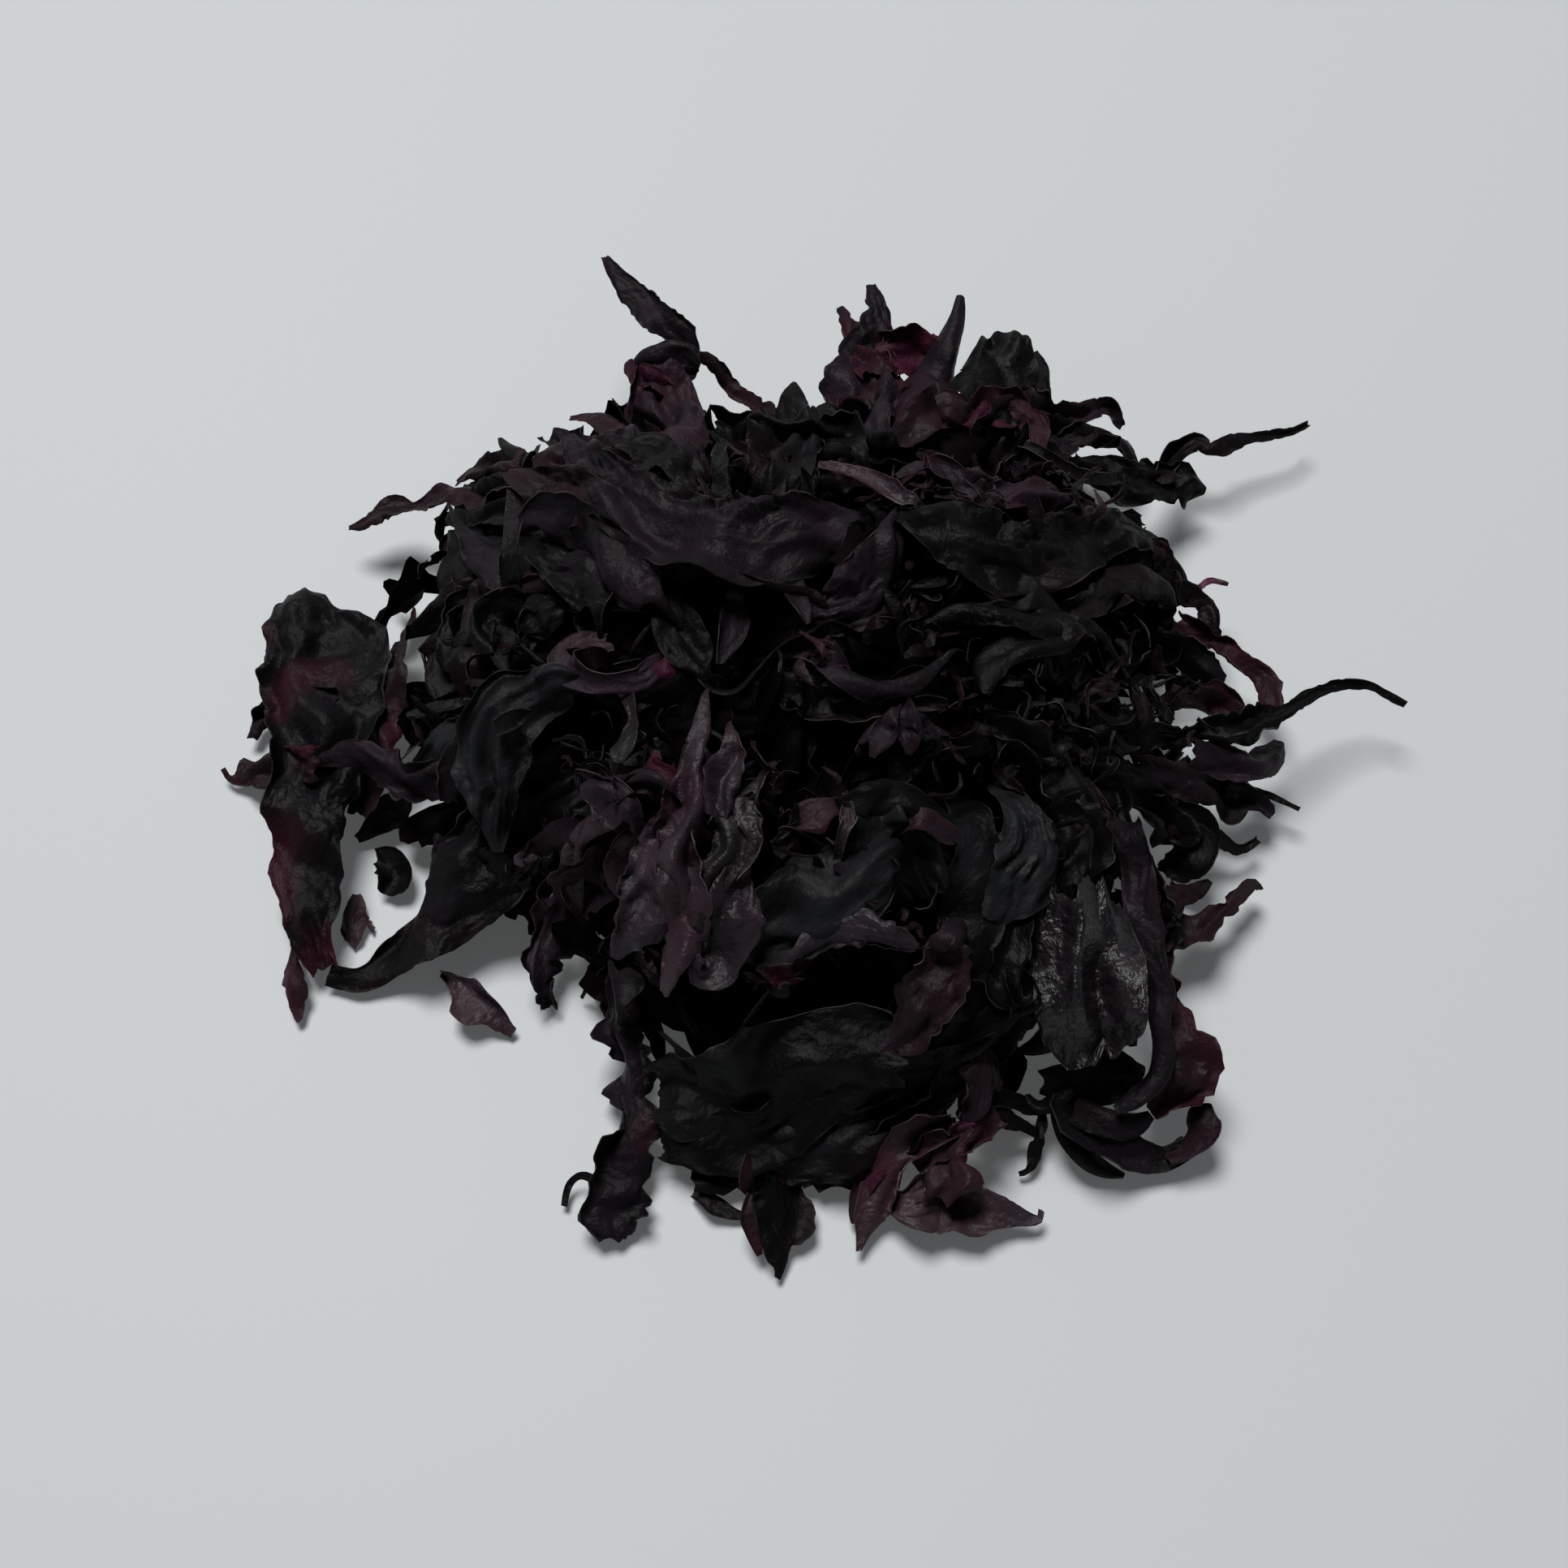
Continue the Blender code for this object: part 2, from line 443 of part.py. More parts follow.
def split_into_triangles(bm):
    """Split all faces into triangles.

    Where two faces that touch at two corners were both split along the line between them, the
    smaller face is split the other way, so that no edge has four faces.
    """
    bmesh.ops.dissolve_limit(bm, angle_limit=math.radians(FLAT_ANGLE), verts=bm.verts[:],
                             edges=bm.edges[:])
    bmesh.ops.triangulate(bm, faces=bm.faces[:])
    for edge in [edge for edge in bm.edges if len(edge.link_faces) == 4]:
        one, *rest = sorted(edge.link_loops, key=lambda loop: loop.face.calc_area())
        other = min((loop for loop in rest if loop.vert != one.vert),
                    key=lambda loop: loop.face.normal.angle(one.face.normal, math.pi))
        start, end = one.vert, other.vert
        tip_one, tip_other = one.link_loop_prev.vert, other.link_loop_prev.vert
        bmesh.ops.delete(bm, geom=[one.face, other.face], context="FACES_ONLY")
        bm.faces.new((tip_other, end, tip_one))
        bm.faces.new((tip_one, start, tip_other))


def dulse_material():
    """Dried dulse: a purple that is almost black, with a satin face."""
    material = bpy.data.materials.new("dried_dulse")
    material.use_nodes = True
    shader = material.node_tree.nodes["Principled BSDF"]
    shader.inputs["Base Color"].default_value = (0.016, 0.009, 0.012, 1.0)
    shader.inputs["Roughness"].default_value = 0.45
    shader.inputs["Metallic"].default_value = 0.0
    material.diffuse_color = (0.10, 0.06, 0.08, 1.0)
    return material


def main():
    for obj in list(bpy.data.objects):
        bpy.data.objects.remove(obj, do_unlink=True)
    heap_parts = bpy.data.collections.new("dried_dulse")
    pieces = bpy.data.collections.new("fronds")
    bpy.context.scene.collection.children.link(heap_parts)
    bpy.context.scene.collection.children.link(pieces)

    heap = make_core(heap_parts)
    placed = [(frond, frond_knots(frond)) for frond in FRONDS]
    placed += hanging_fronds()
    for seed, (frond, knots) in enumerate(placed):
        make_frond(frond, knots, seed, pieces)
    for sheet in pieces.objects:
        sheet.data = applied(sheet)
        sheet.modifiers.clear()

    union = heap.modifiers.new("fuse", "BOOLEAN")
    union.operation = "UNION"
    union.operand_type = "COLLECTION"
    union.collection = pieces
    union.solver = "EXACT"
    fused = applied(heap)
    heap.modifiers.clear()
    for obj in list(pieces.objects):
        bpy.data.objects.remove(obj, do_unlink=True)
    bpy.data.collections.remove(pieces)

    bm = bmesh.new()
    bm.from_mesh(fused)
    keep_largest_shell(bm)
    split_into_triangles(bm)
    bm.to_mesh(fused)
    bm.free()
    heap.data = fused
    heap.data.name = "dulse_heap"
    heap.data.materials.clear()
    heap.data.materials.append(dulse_material())


main()
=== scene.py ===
import math
import random
from typing import NamedTuple

import bmesh
import bpy
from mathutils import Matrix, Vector, noise
from mathutils.kdtree import KDTree


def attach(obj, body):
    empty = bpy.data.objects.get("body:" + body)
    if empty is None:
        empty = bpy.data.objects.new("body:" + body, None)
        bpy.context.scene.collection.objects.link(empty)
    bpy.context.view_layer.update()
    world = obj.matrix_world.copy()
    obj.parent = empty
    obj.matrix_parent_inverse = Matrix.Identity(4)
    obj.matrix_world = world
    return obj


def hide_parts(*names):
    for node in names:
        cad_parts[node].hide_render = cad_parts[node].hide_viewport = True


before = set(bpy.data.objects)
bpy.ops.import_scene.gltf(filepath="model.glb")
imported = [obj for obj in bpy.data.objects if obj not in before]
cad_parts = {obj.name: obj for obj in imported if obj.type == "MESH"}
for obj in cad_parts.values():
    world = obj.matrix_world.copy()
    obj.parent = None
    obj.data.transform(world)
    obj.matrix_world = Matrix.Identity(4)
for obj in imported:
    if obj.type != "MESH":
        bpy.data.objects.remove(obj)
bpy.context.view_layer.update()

MM = 0.001

# The mound under the fronds, as in the solid
MOUND_CENTRE = Vector((0.0, 17.0))
MOUND_REACH = (90, 103, 110, 84, 98, 104, 88, 68, 76, 103, 95, 98)  # every 30 degrees from +X
MOUND_HEIGHT = 52.0
MOUND_ROUNDING = 2.3              # the larger, the flatter the top and the steeper the side
MOUND_SIDE = 0.75                 # the smaller, the steeper the foot of the side
CORE_SHARE = 0.86                 # the core's size, as a share of the mound's

# Where a height lifts a point, it moves along the line of sight from this point to the table's
# (x, y) at EYE_LEVEL, so that the fronds keep their outline from the front however high they lie.
EYE = Vector((0.0, -215.7, 388.6))
EYE_LEVEL = 5.0
EYE_ELEVATION = 60.0              # degrees
VIEW_ANGLE = 45.0                 # degrees across the picture
TOWARDS_EYE = Vector((0.0, -math.cos(math.radians(EYE_ELEVATION)),
                      math.sin(math.radians(EYE_ELEVATION))))
SHIFT = Vector((-6.2, -18.1, 0.0))  # puts the middle of the heap's length and width at the origin

# Frond sheets
SHEET_THICKNESS = 0.25
NARROWEST = 0.4                   # half width
SHARP_ANGLE = 65.0                # degrees between faces from which their edge is shown sharp
GROUND_CLEARANCE = 0.4            # the lowest that the middle of a sheet lies
TUCK_LENGTH = 17.0                # how a root that lies clear over the core dips into it
TUCK_DEPTH = 7.0
TUCK_NARROWING = 0.7


class Frond(NamedTuple):
    """A frond: its spine from tip to root as (x, y, height, half width), and how it bends.

    tint runs from -0.25, slate grey, over 0, blue-black, charcoal, purple and brown to 1, crimson.
    glow is how much red is painted in as light shining through thin parts, in patches towards the edges.
    """
    name: str
    spine: tuple
    roll: float = 0.0             # degrees turned about the spine, from lying on the mound
    curl: float = 30.0            # degrees through which the sheet bends across, edges up
    ruffle: float = 1.2           # height of the waves along its edges
    tint: float = 0.3
    glow: float = 0.15
    torn: float = 0.75            # how ragged and creased it is
    facing: float = 0.5           # how far it turns from the mound's slope towards the eye
    pale: float = 1.0             # how many times lighter it is than its tint


def frond(name, *spine, **bends):
    """A row of the table, with the points of its spine one after the other."""
    return Frond(name, spine, **bends)


FRONDS = (
    # left side, round the loop that lies furthest out
    frond("left_great", (-121, 59.5, 13, 3), (-118.3, 53.5, 16, 9.6), (-113.2, 41.5, 18, 17),
        (-109.6, 20.5, 17, 12.6), (-110.6, 0.5, 15, 10.4), (-109, -17.5, 12, 9), (-105.5, -32, 8, 6),
        (-101.5, -42, 5, 3.5), curl=25, tint=0.16, glow=0.6, torn=0.16, pale=1.3),
    frond("left_tongue", (-98, -2, 9, 4), (-97, 12, 12, 6), (-96.5, 28, 15, 7), (-95, 40, 15, 7.5),
        (-92.5, 50, 11, 6), curl=20, tint=0.8, glow=0.2, torn=0.3, pale=0.8),
    frond("left_arm", (-101, -43, 4, 2.5), (-93, -44, 4, 3), (-85, -38, 6, 5.5), (-77, -29, 10, 9.5),
        (-70, -17, 16, 12), (-60, -2, 22, 12), (-48, 8, 26, 8), curl=15, tint=0.2, glow=0.5, torn=0.15,
        pale=1.1),
    frond("left_tail", (-105.5, -54, 2, 0.7), (-107.5, -46, 3, 3.8), (-109, -38, 4, 1.4), (-107, -26, 9, 2),
        curl=50, ruffle=0.4, tint=0.9, glow=1),
    frond("left_cross", (-110, 13, 18, 2), (-99, 13, 21, 5), (-90, 8, 21, 5.5), (-78, 6, 24, 5), tint=0.5,
        glow=0.1, torn=0.5),
    frond("left_lobe", (-126, 18, 4, 1.5), (-124, 25, 6, 4.5), (-116, 28, 12, 4), (-106, 29, 18, 3),
        tint=0.5, glow=0.3, pale=0.8),
    frond("left_hook", (-132, 10, 4, 0.7), (-129, 7, 3, 1.5), (-123, 10, 6, 6), (-108, 12, 17, 5),
        ruffle=0.5, tint=0.7, glow=0.8),
    frond("left_rag", (-98, -9, 3, 1.5), (-92, -3, 7, 5), (-90, 10, 20, 3), tint=0.5),
    frond("left_spike", (-110.6, 80.4, 10, 0.8), (-107.2, 81.6, 11, 2.2), (-104, 83.2, 12, 3.4),
        (-99, 87, 14, 4.8), (-94, 87.8, 16, 3.4), (-88.6, 89.6, 19, 4.8), (-82.3, 91.3, 23, 5.4),
        (-75.3, 92.6, 28, 6.4), (-66, 94, 33, 7), curl=45, ruffle=1.6, tint=0.74, glow=0.1, torn=0.6,
        pale=0.8),
    frond("left_hump", (-84.6, 95, 22, 1.5), (-80.5, 98.6, 25, 3.6), (-74.5, 100, 28, 4.6),
        (-66, 99, 34, 4.5), ruffle=1.6, tint=0.78, torn=0.6, facing=0.8, pale=0.7),
    frond("left_horn", (-74.4, 110.5, 29, 0.6), (-71.5, 107, 31, 2.6), (-67.5, 103.5, 33, 2.4), curl=-30,
        tint=0.25, torn=0.05),
    frond("left_horn_small", (-63.8, 107.8, 35, 0.6), (-65.2, 104.3, 36, 1.3), (-68, 101.5, 37, 1.2),
        tint=0.2, torn=0.05),
    # left_shade and left_dark are blue-black sheets that close a gap; their darkness stands in for shade
    # there
    frond("left_shade", (-85, 85, 19, 3), (-78, 87, 26, 6.5), (-66, 89, 35, 9), tint=0, glow=0, torn=0.3),
    frond("left_dark", (-80, 81.5, 24, 2.5), (-74, 79.5, 30, 6), (-65, 77, 37, 8), (-56, 76, 42, 7), tint=0,
        glow=0, torn=0.3, facing=0.8),
    frond("left_fin", (-83.5, 81, 22, 2), (-81.5, 74, 23, 4.4), (-81.5, 66, 23, 5.5), (-80, 58, 24, 5),
        curl=20, tint=0, glow=0.1, torn=0.1, facing=0.8),
    frond("left_fin_low", (-80.5, 71, 27, 2), (-79.5, 66, 28, 3.6), (-78, 60, 29, 3), curl=-30, torn=0.1,
        facing=0.8),
    frond("left_tent", (-86, 88.8, 27, 0.4), (-83, 82.8, 30, 1.2), (-79.2, 77, 33, 3.2),
        (-74.5, 72, 36, 5.6), (-69, 68.5, 39, 7), (-62, 67, 43, 6), curl=-25, ruffle=0.3, tint=0.38, glow=0,
        torn=0.03, facing=0.85, pale=1.15),
    frond("left_shelf", (-76.5, 61.8, 35, 1.2), (-70, 64.4, 39, 2.8), (-64, 64.2, 43, 3),
        (-58, 64.6, 46, 2.6), (-53.5, 67.5, 49, 1), roll=25, curl=-50, ruffle=0.8, tint=0.42, glow=0.1,
        torn=0.2, facing=0.8, pale=1.2),
    frond("left_pocket", (-76.5, 56, 31, 2.2), (-70, 58.5, 35, 4), (-64, 60.5, 39, 4), (-58.5, 62, 42, 3),
        curl=40, tint=0.8, glow=0.5, torn=0.4, facing=0.8),
    frond("left_spear", (-79, 49.3, 32, 0.5), (-78.2, 53.5, 33, 1.7), (-77.2, 58.5, 34, 1.8),
        (-76.2, 64.5, 35, 0.8), curl=-40, ruffle=0.2, tint=0.64, torn=0.05, facing=0.9),
    frond("left_ruffle", (-66.2, 35.6, 39, 0.8), (-68.4, 42, 38, 3.4), (-72, 48, 37, 5.4),
        (-71.5, 54, 37, 5), (-65, 58.5, 41, 3.4), curl=-35, ruffle=1.6, tint=0.1, glow=0, torn=0.3,
        facing=0.85, pale=1.1),
    frond("left_ruffle_low", (-80.5, 45.2, 30, 1), (-76.8, 47, 33, 3.6), (-72.5, 47, 36, 3.8), curl=-60,
        tint=0.28, torn=0.2, facing=0.8),
    frond("left_blob", (-65, 49, 39, 3), (-60.5, 52.5, 42, 6.5), (-55, 57, 45, 5.5), curl=-30, tint=0,
        glow=0, torn=0.5, facing=0.8, pale=0.7),
    frond("left_edge", (-83, 50, 15, 5), (-79, 62, 18, 6), (-80, 74, 16, 4), curl=40, tint=0.1),
    frond("left_fold", (-93, 47.4, 15, 0.8), (-88.1, 51.4, 19, 3), (-83.9, 55.8, 24, 4),
        (-77.5, 62.5, 30, 3.6), roll=10, curl=-80, ruffle=0.8, tint=-0.06, torn=0.15, facing=0.8),
    frond("left_fold_low", (-88, 41.8, 18, 2.2), (-84.6, 45.6, 22, 3.8), (-80.5, 45.5, 27, 4.2),
        (-76.5, 38, 31, 4.4), curl=-60, tint=0.18, torn=0.15, facing=0.8),
    frond("left_fold_high", (-79.5, 38, 26, 3), (-82, 46, 26, 4), (-81.2, 53.4, 27, 4), (-78, 58, 30, 3),
        curl=60, tint=0.1, torn=0.3),
    frond("left_frayed", (-65.6, -12, 24, 1.4), (-66.6, -4, 29, 4.4), (-68, 6, 35, 8), (-69.5, 17, 39, 10),
        (-66.5, 26, 43, 9.5), (-58, 31.5, 47, 6.5), (-51, 34.5, 50, 3), curl=-15, tint=-0.22, glow=0,
        torn=0.3, facing=0.85),
    frond("left_wing", (-87, 11.5, 20, 1), (-81, 14.5, 25, 4.8), (-75, 18.5, 31, 6.5), (-68, 23, 37, 6.5),
        curl=-20, tint=-0.16, glow=0, torn=0.3, facing=0.85),
    frond("left_wing_lobe", (-78.8, 0.6, 23, 1.2), (-77.5, 7.5, 28, 3.8), (-74, 15, 33, 4.4), tint=0.26,
        glow=0.1, torn=0.4, facing=0.85),
    frond("left_arrow", (-60.6, 25.6, 48, 0.5), (-64.5, 24, 48, 2.4), (-68.5, 21.6, 45, 2), curl=40,
        tint=0.42, torn=0.05),
    frond("left_low", (-78, -8, 14, 3), (-78, -15, 12, 4), (-72, -22, 12, 5), (-62, -16, 18, 6), glow=0.2),
    frond("left_round", (-81.8, 30, 22, 2.6), (-83, 36.4, 22, 5), (-82.6, 42, 23, 4), (-80, 45, 25, 2),
        curl=-50, ruffle=0.4, tint=-0.05, torn=0.05, facing=0.8),

    # the back, with the spikes that stand up from it
    frond("back_left_spike", (-50, 175.6, 34, 0.9), (-44.6, 166.5, 33.5, 2.8), (-39, 158.8, 32, 4.4),
        (-33.2, 151.8, 31, 5.4), (-28.8, 145, 29.5, 6), (-26.6, 138.4, 28.5, 6), (-26, 130, 28, 5), curl=50,
        ruffle=0.8, tint=0.4, glow=0, torn=0.3, facing=0.8, pale=1.3),
    frond("back_cap", (-40, 136.6, 28, 1.2), (-36.5, 138.6, 30, 3.2), (-31, 140, 31, 4),
        (-26, 138.4, 31, 3.6), (-22.5, 135, 30, 1), roll=20, curl=-60, ruffle=0.8, glow=0, torn=0.3,
        facing=0.8, pale=1.2),
    frond("back_left_dome", (-31.8, 136, 28, 6), (-32.4, 131, 29, 10.5), (-32, 123.5, 30.5, 12),
        (-30.6, 114.5, 34, 11.5), (-29, 104, 40, 9), roll=6, curl=-55, ruffle=1, tint=0.66, glow=0.1,
        torn=0.35, facing=0.6, pale=1.5),
    frond("back_left_leaf", (-42.4, 134.4, 24, 1.4), (-40, 133.6, 26, 3), (-36, 130.5, 28, 4),
        (-31, 126, 29, 4), roll=20, curl=40, tint=0.95, glow=0.5, torn=0.6),
    frond("back_left_red", (-24, 140, 23, 1.8), (-18, 134, 18, 2.6), (-13, 127, 14, 2.6),
        (-6, 120, 16, 2.5), (2, 112, 24, 5), curl=50, tint=0.8, glow=0.9),
    frond("back_left_low", (-56.4, 116.6, 18, 0.9), (-52.3, 117, 20, 2), (-47.3, 115.6, 23, 2.8),
        (-42.5, 113, 27, 3.6), (-36, 109, 33, 4), curl=50, tint=0.85, glow=0.3, torn=0.6),
    frond("back_left_bank", (-62, 110, 20, 3), (-55, 109, 25, 6), (-44, 107, 33, 8), (-30, 102, 42, 9),
        roll=-10, curl=40, tint=0.5, glow=0.3),
    frond("back_peak", (2.6, 129, 40, 0.7), (2.3, 122.5, 41, 4.5), (1.4, 115, 43, 8),
        (0.4, 106.5, 46, 10.5), (-1, 96, 50, 8), curl=-55, ruffle=1.4, tint=-0.1, torn=0.2, facing=0.7),
    frond("back_peak_side", (9.5, 121.5, 36, 2), (13.5, 113.5, 39, 5.6), (16, 104, 43, 6), curl=-30,
        tint=0.2, torn=0.3, facing=0.7),
    frond("back_bank", (-20, 113, 36, 5), (-6, 108, 40, 8), (10, 108, 40, 9), (26, 110, 40, 8), roll=15,
        tint=0.15),
    frond("back_fork", (24, 165, 30, 1.6), (26, 158, 30, 3.4), (24, 149, 28, 5), (22, 138, 28, 9),
        (24, 122, 32, 12), curl=40, tint=0.4, glow=0.5),
    frond("back_prong", (15, 156, 25, 1.2), (18, 150, 26, 2.5), (23, 142, 26, 5), (26, 132, 28, 6), curl=40,
        tint=0.5, glow=0.6),
    frond("back_red", (17, 140, 22, 3), (24, 141.5, 24, 6), (32, 140, 25, 7), (42, 140, 26, 6), roll=-15,
        curl=20, tint=1, glow=0.9, torn=0.4, facing=0.9),
    frond("back_dome", (20.4, 136, 27, 5), (20, 128, 28.5, 9.5), (20.5, 118, 31, 9.5), (22.5, 108, 36, 7),
        roll=-8, curl=-60, tint=0.6, torn=0.3, facing=0.6, pale=1.3),
    frond("back_spike", (48.8, 161, 34, 1.2), (47.6, 153, 33, 3), (45, 145, 31.5, 4.5),
        (41.5, 136, 30.5, 7.5), (38, 127, 31, 11), (36, 116, 35, 11), curl=-60, tint=0.5, glow=0.2,
        torn=0.12, facing=0.8),
    frond("back_flag", (57.4, 147.4, 27, 1), (58.1, 142, 28, 6.5), (57.6, 134.5, 28.5, 10),
        (56, 124.5, 30, 12), (53, 114, 35, 10), curl=-25, tint=0.04, glow=0.05, torn=0.3, facing=0.8),
    frond("back_flag_fold", (67.6, 140, 25, 1), (68, 132.4, 26, 3.2), (67, 124, 27, 4), curl=-80, tint=0.2,
        glow=0.2, torn=0.2, facing=0.8),
    frond("back_ruffle", (30, 109, 42, 3), (35, 114.5, 41, 5), (41, 118, 39, 5), (46, 117, 39, 4), roll=20,
        ruffle=2.4, tint=0.75, glow=0.3, torn=0.4, facing=0.7),
    frond("back_ruffle_red", (47, 116, 40, 3), (53, 118.5, 38, 5.5), (60, 118, 36, 6), (66, 114, 35, 4),
        (66, 105, 38, 2), roll=15, ruffle=2.2, tint=0.9, glow=0.4, torn=0.4, facing=0.7),
    frond("pale_curve", (62, 107, 41, 2.5), (66.5, 103, 41, 3.4), (72, 99.5, 38, 3), (78, 96.5, 34, 2.4),
        (86, 96, 28, 2), roll=-35, curl=40, ruffle=0.5, tint=0.1, torn=0.1, facing=0.8),
    frond("back_right_lump", (88.8, 113.6, 12, 1.2), (85.6, 118.4, 15, 3.4), (77.8, 118.4, 19, 4),
        (68.5, 116, 25, 5.6), (58, 111, 33, 8), curl=60, tint=0.5, glow=0.3),
    frond("back_right_low", (90, 100, 12, 2), (85, 107, 14, 5), (78, 111, 19, 6), (66, 108, 28, 7),
        curl=40),
    frond("back_strip", (83, 84, 33, 3), (72, 87, 41, 5), (60, 90, 47, 6), (48, 94, 51, 5), (36, 99, 50, 3),
        roll=-10, curl=40, tint=0.7, glow=0.4),

    # right side
    frond("right_band", (108, 93, 12, 1.2), (104, 95.5, 14, 4.5), (96, 95.5, 17, 5.5), (87, 95, 20, 5.5),
        (78, 99, 25, 6), (66, 103, 33, 4), curl=70, tint=0.1, glow=0.1),
    frond("right_wisp", (138, 115, 10, 0.7), (134, 112.5, 11, 1.3), (127, 111, 13, 1.6),
        (118, 109, 15, 2.2), (111, 106.5, 16, 2.6), (107, 109, 17, 4), (102, 105, 16, 3.5), (98, 95, 17, 3),
        curl=60, ruffle=0.5),
    frond("right_shoulder", (95, 54, 18, 5), (93, 64, 23, 7), (86, 72, 31, 8), (70, 73, 42, 9),
        (52, 74, 49, 9), (34, 78, 52, 6), curl=50, tint=0.15),
    frond("right_lobe", (104, 44, 12, 2), (104, 50, 14, 3), (103, 58, 16, 3.6), (92, 60, 22, 4), curl=40),
    frond("right_pink", (100.4, 60.3, 18, 0.7), (103.9, 62.8, 17, 0.9), (106.6, 64.5, 16, 1.1),
        (110.2, 63, 15, 0.6), curl=60, ruffle=0.8, tint=0.9, glow=0.3, torn=1, pale=3),
    frond("right_loop", (116.5, 26.5, 14, 2.6), (116.4, 33.1, 13, 3.9), (113.8, 38.2, 14, 4.2),
        (109.6, 42.2, 16, 4.2), (105, 46.4, 18, 4), (95, 53, 20, 4), curl=60, tint=0.86, glow=0.25,
        torn=0.6, pale=0.85),
    frond("right_inner", (110.2, 23.6, 13, 1.6), (107.4, 27.4, 13, 3.6), (103.2, 29.4, 16, 4.4),
        (98.5, 28.5, 18, 4.4), (92, 32, 22, 4), curl=50, ruffle=1.8, tint=0.8, glow=0.2, torn=0.8,
        pale=0.85),
    frond("right_root", (106.5, 34.5, 16, 1.5), (101.6, 37.8, 18, 4.4), (96.5, 42.5, 20, 5),
        (90, 46, 22, 4), curl=50, ruffle=1.6, glow=0, torn=0.6),
    frond("right_spike", (149, 28, 15, 0.8), (141, 32.6, 17, 1.5), (132, 32, 20, 1.7), (123, 28, 22, 2.4),
        (117, 23.5, 23, 3.6), (110, 21.8, 24, 4.6), (100, 20, 25, 4.6), (88, 18.5, 26, 4.4),
        (72, 18, 28, 4), curl=70, ruffle=0.9, tint=0.05, glow=0),
    frond("right_petal", (117.4, 17.3, 13, 1.6), (114.4, 13, 15, 4.6), (109, 10.5, 18, 5), (96, 14, 22, 4),
        curl=50, tint=0.6, glow=0.3, torn=0.4),
    frond("right_fan", (113, -3, 8, 1.5), (109, 3, 11, 6.5), (100, 6, 16, 7), (84, 8, 24, 5), curl=40,
        tint=0.42, glow=0.1, torn=0.5),
    frond("right_twig", (120, -1, 8, 0.8), (113, 3, 10, 1), (104, 5, 14, 2), ruffle=0.2),
    frond("right_dark", (86, -18, 9, 3), (93, -11, 12, 6.5), (90, -3, 18, 8), (78, 6, 28, 6), curl=50,
        tint=0, glow=0),
    frond("right_claw", (109, -9, 7, 1.2), (104, -11.5, 7, 2), (99, -8.5, 10, 2.6), (88, -6, 15, 4),
        curl=50, ruffle=0.3, tint=0.1),
    frond("right_wave", (82, -42, 12, 3), (86, -33, 14, 4.5), (83, -24, 19, 4.5), (79, -12, 25, 4.5),
        (76, 4, 30, 4), roll=-30, curl=40, ruffle=2, tint=0.1),
    frond("right_barb", (97, -19.6, 10, 0.9), (89.5, -24.4, 13, 3.6), (82, -28, 17, 5), (74, -27, 19, 5),
        glow=0.2),
    frond("right_horn", (108, -22, 8, 1.2), (106, -20.5, 8, 2.4), (100, -27, 9, 2.8), (90, -33, 12, 5.5),
        (76, -32, 16, 5), curl=50, tint=0.8, glow=0.2, pale=0.8),
    frond("right_bump", (92, 64, 24, 4), (82, 61, 34, 6), (72, 54, 40, 6), (62, 48, 44, 3), curl=70,
        tint=0.5, glow=0.2),
    frond("right_pleat", (64, -20, 36, 5), (68, -4, 38, 7), (62, 10, 44, 7), (52, 20, 48, 5), curl=50,
        ruffle=2, tint=0.1, pale=0.65),

    # front right: the glossy frond and the curl below it
    frond("glossy", (65, -65.4, 24, 2.2), (65.1, -62, 26.5, 8), (65.7, -56.6, 30, 10.8),
        (66.9, -49.9, 33, 12), (68.1, -42.1, 36, 12.2), (68.4, -34.2, 38.5, 11.6), (68.2, -27, 40.5, 10),
        (68.1, -21.5, 42, 7.5), curl=-15, ruffle=0.6, tint=0.5, glow=0.25, torn=0.1, facing=0.95, pale=0.6),
    frond("glossy_ear", (50.4, -61.1, 14, 0.6), (54, -60, 17, 2.4), (59.5, -56, 22, 4.5), curl=-40,
        tint=0.5, torn=0.2),
    frond("curl_drop", (70.5, -74.4, 15, 1), (75.3, -71.5, 17, 2.4), (80.1, -66.5, 19, 2.8),
        (82, -60, 21, 3), (81.9, -53.4, 24, 3), (83.1, -46.6, 26, 3.2), (81.7, -40.8, 28, 3.4),
        (81, -32.8, 30, 3.8), (80.5, -24.7, 32, 4.1), (80, -16.5, 34, 4.3), (79, -6, 35, 4), roll=-10,
        curl=-60, tint=0.34, glow=0.05, torn=0.15, facing=0.8, pale=1.5),
    frond("curl_red", (78.4, -75.1, 12, 2), (82.2, -71.1, 13, 6.4), (85.8, -65.2, 15, 7.4),
        (86.8, -58.7, 18, 6.8), (85.2, -52, 21, 5.4), (84, -45.7, 23, 4.4), (83, -39, 25, 3.6), roll=-5,
        curl=-30, ruffle=1.4, tint=0.86, glow=0.2, torn=0.7, pale=0.75),
    frond("curl_ring", (85.4, -82.3, 6, 2.5), (80, -85, 5, 3.1), (74.9, -84.6, 5.5, 3.8),
        (69.9, -83.2, 6.5, 5), (65.9, -80, 8, 6.6), (62.8, -75.1, 10, 7), (61.8, -69.6, 12, 5), roll=5,
        curl=-40, ruffle=0.8, tint=0.26, glow=0.05, torn=0.25, pale=1.3),
    frond("curl_tip", (89.6, -72.6, 10, 1.8), (88.8, -76.2, 9, 4.2), (87.7, -79.8, 8, 4.2),
        (84.4, -83, 6.5, 3.6), (80.6, -84.9, 5.5, 2.4), roll=5, curl=-50, ruffle=0.6, tint=0.66, glow=0.1,
        torn=0.2, pale=0.8),
    frond("curl_hem", (70.8, -88.5, 4, 0.8), (67.3, -87.3, 5, 2.4), (63.4, -84.6, 7, 2.8),
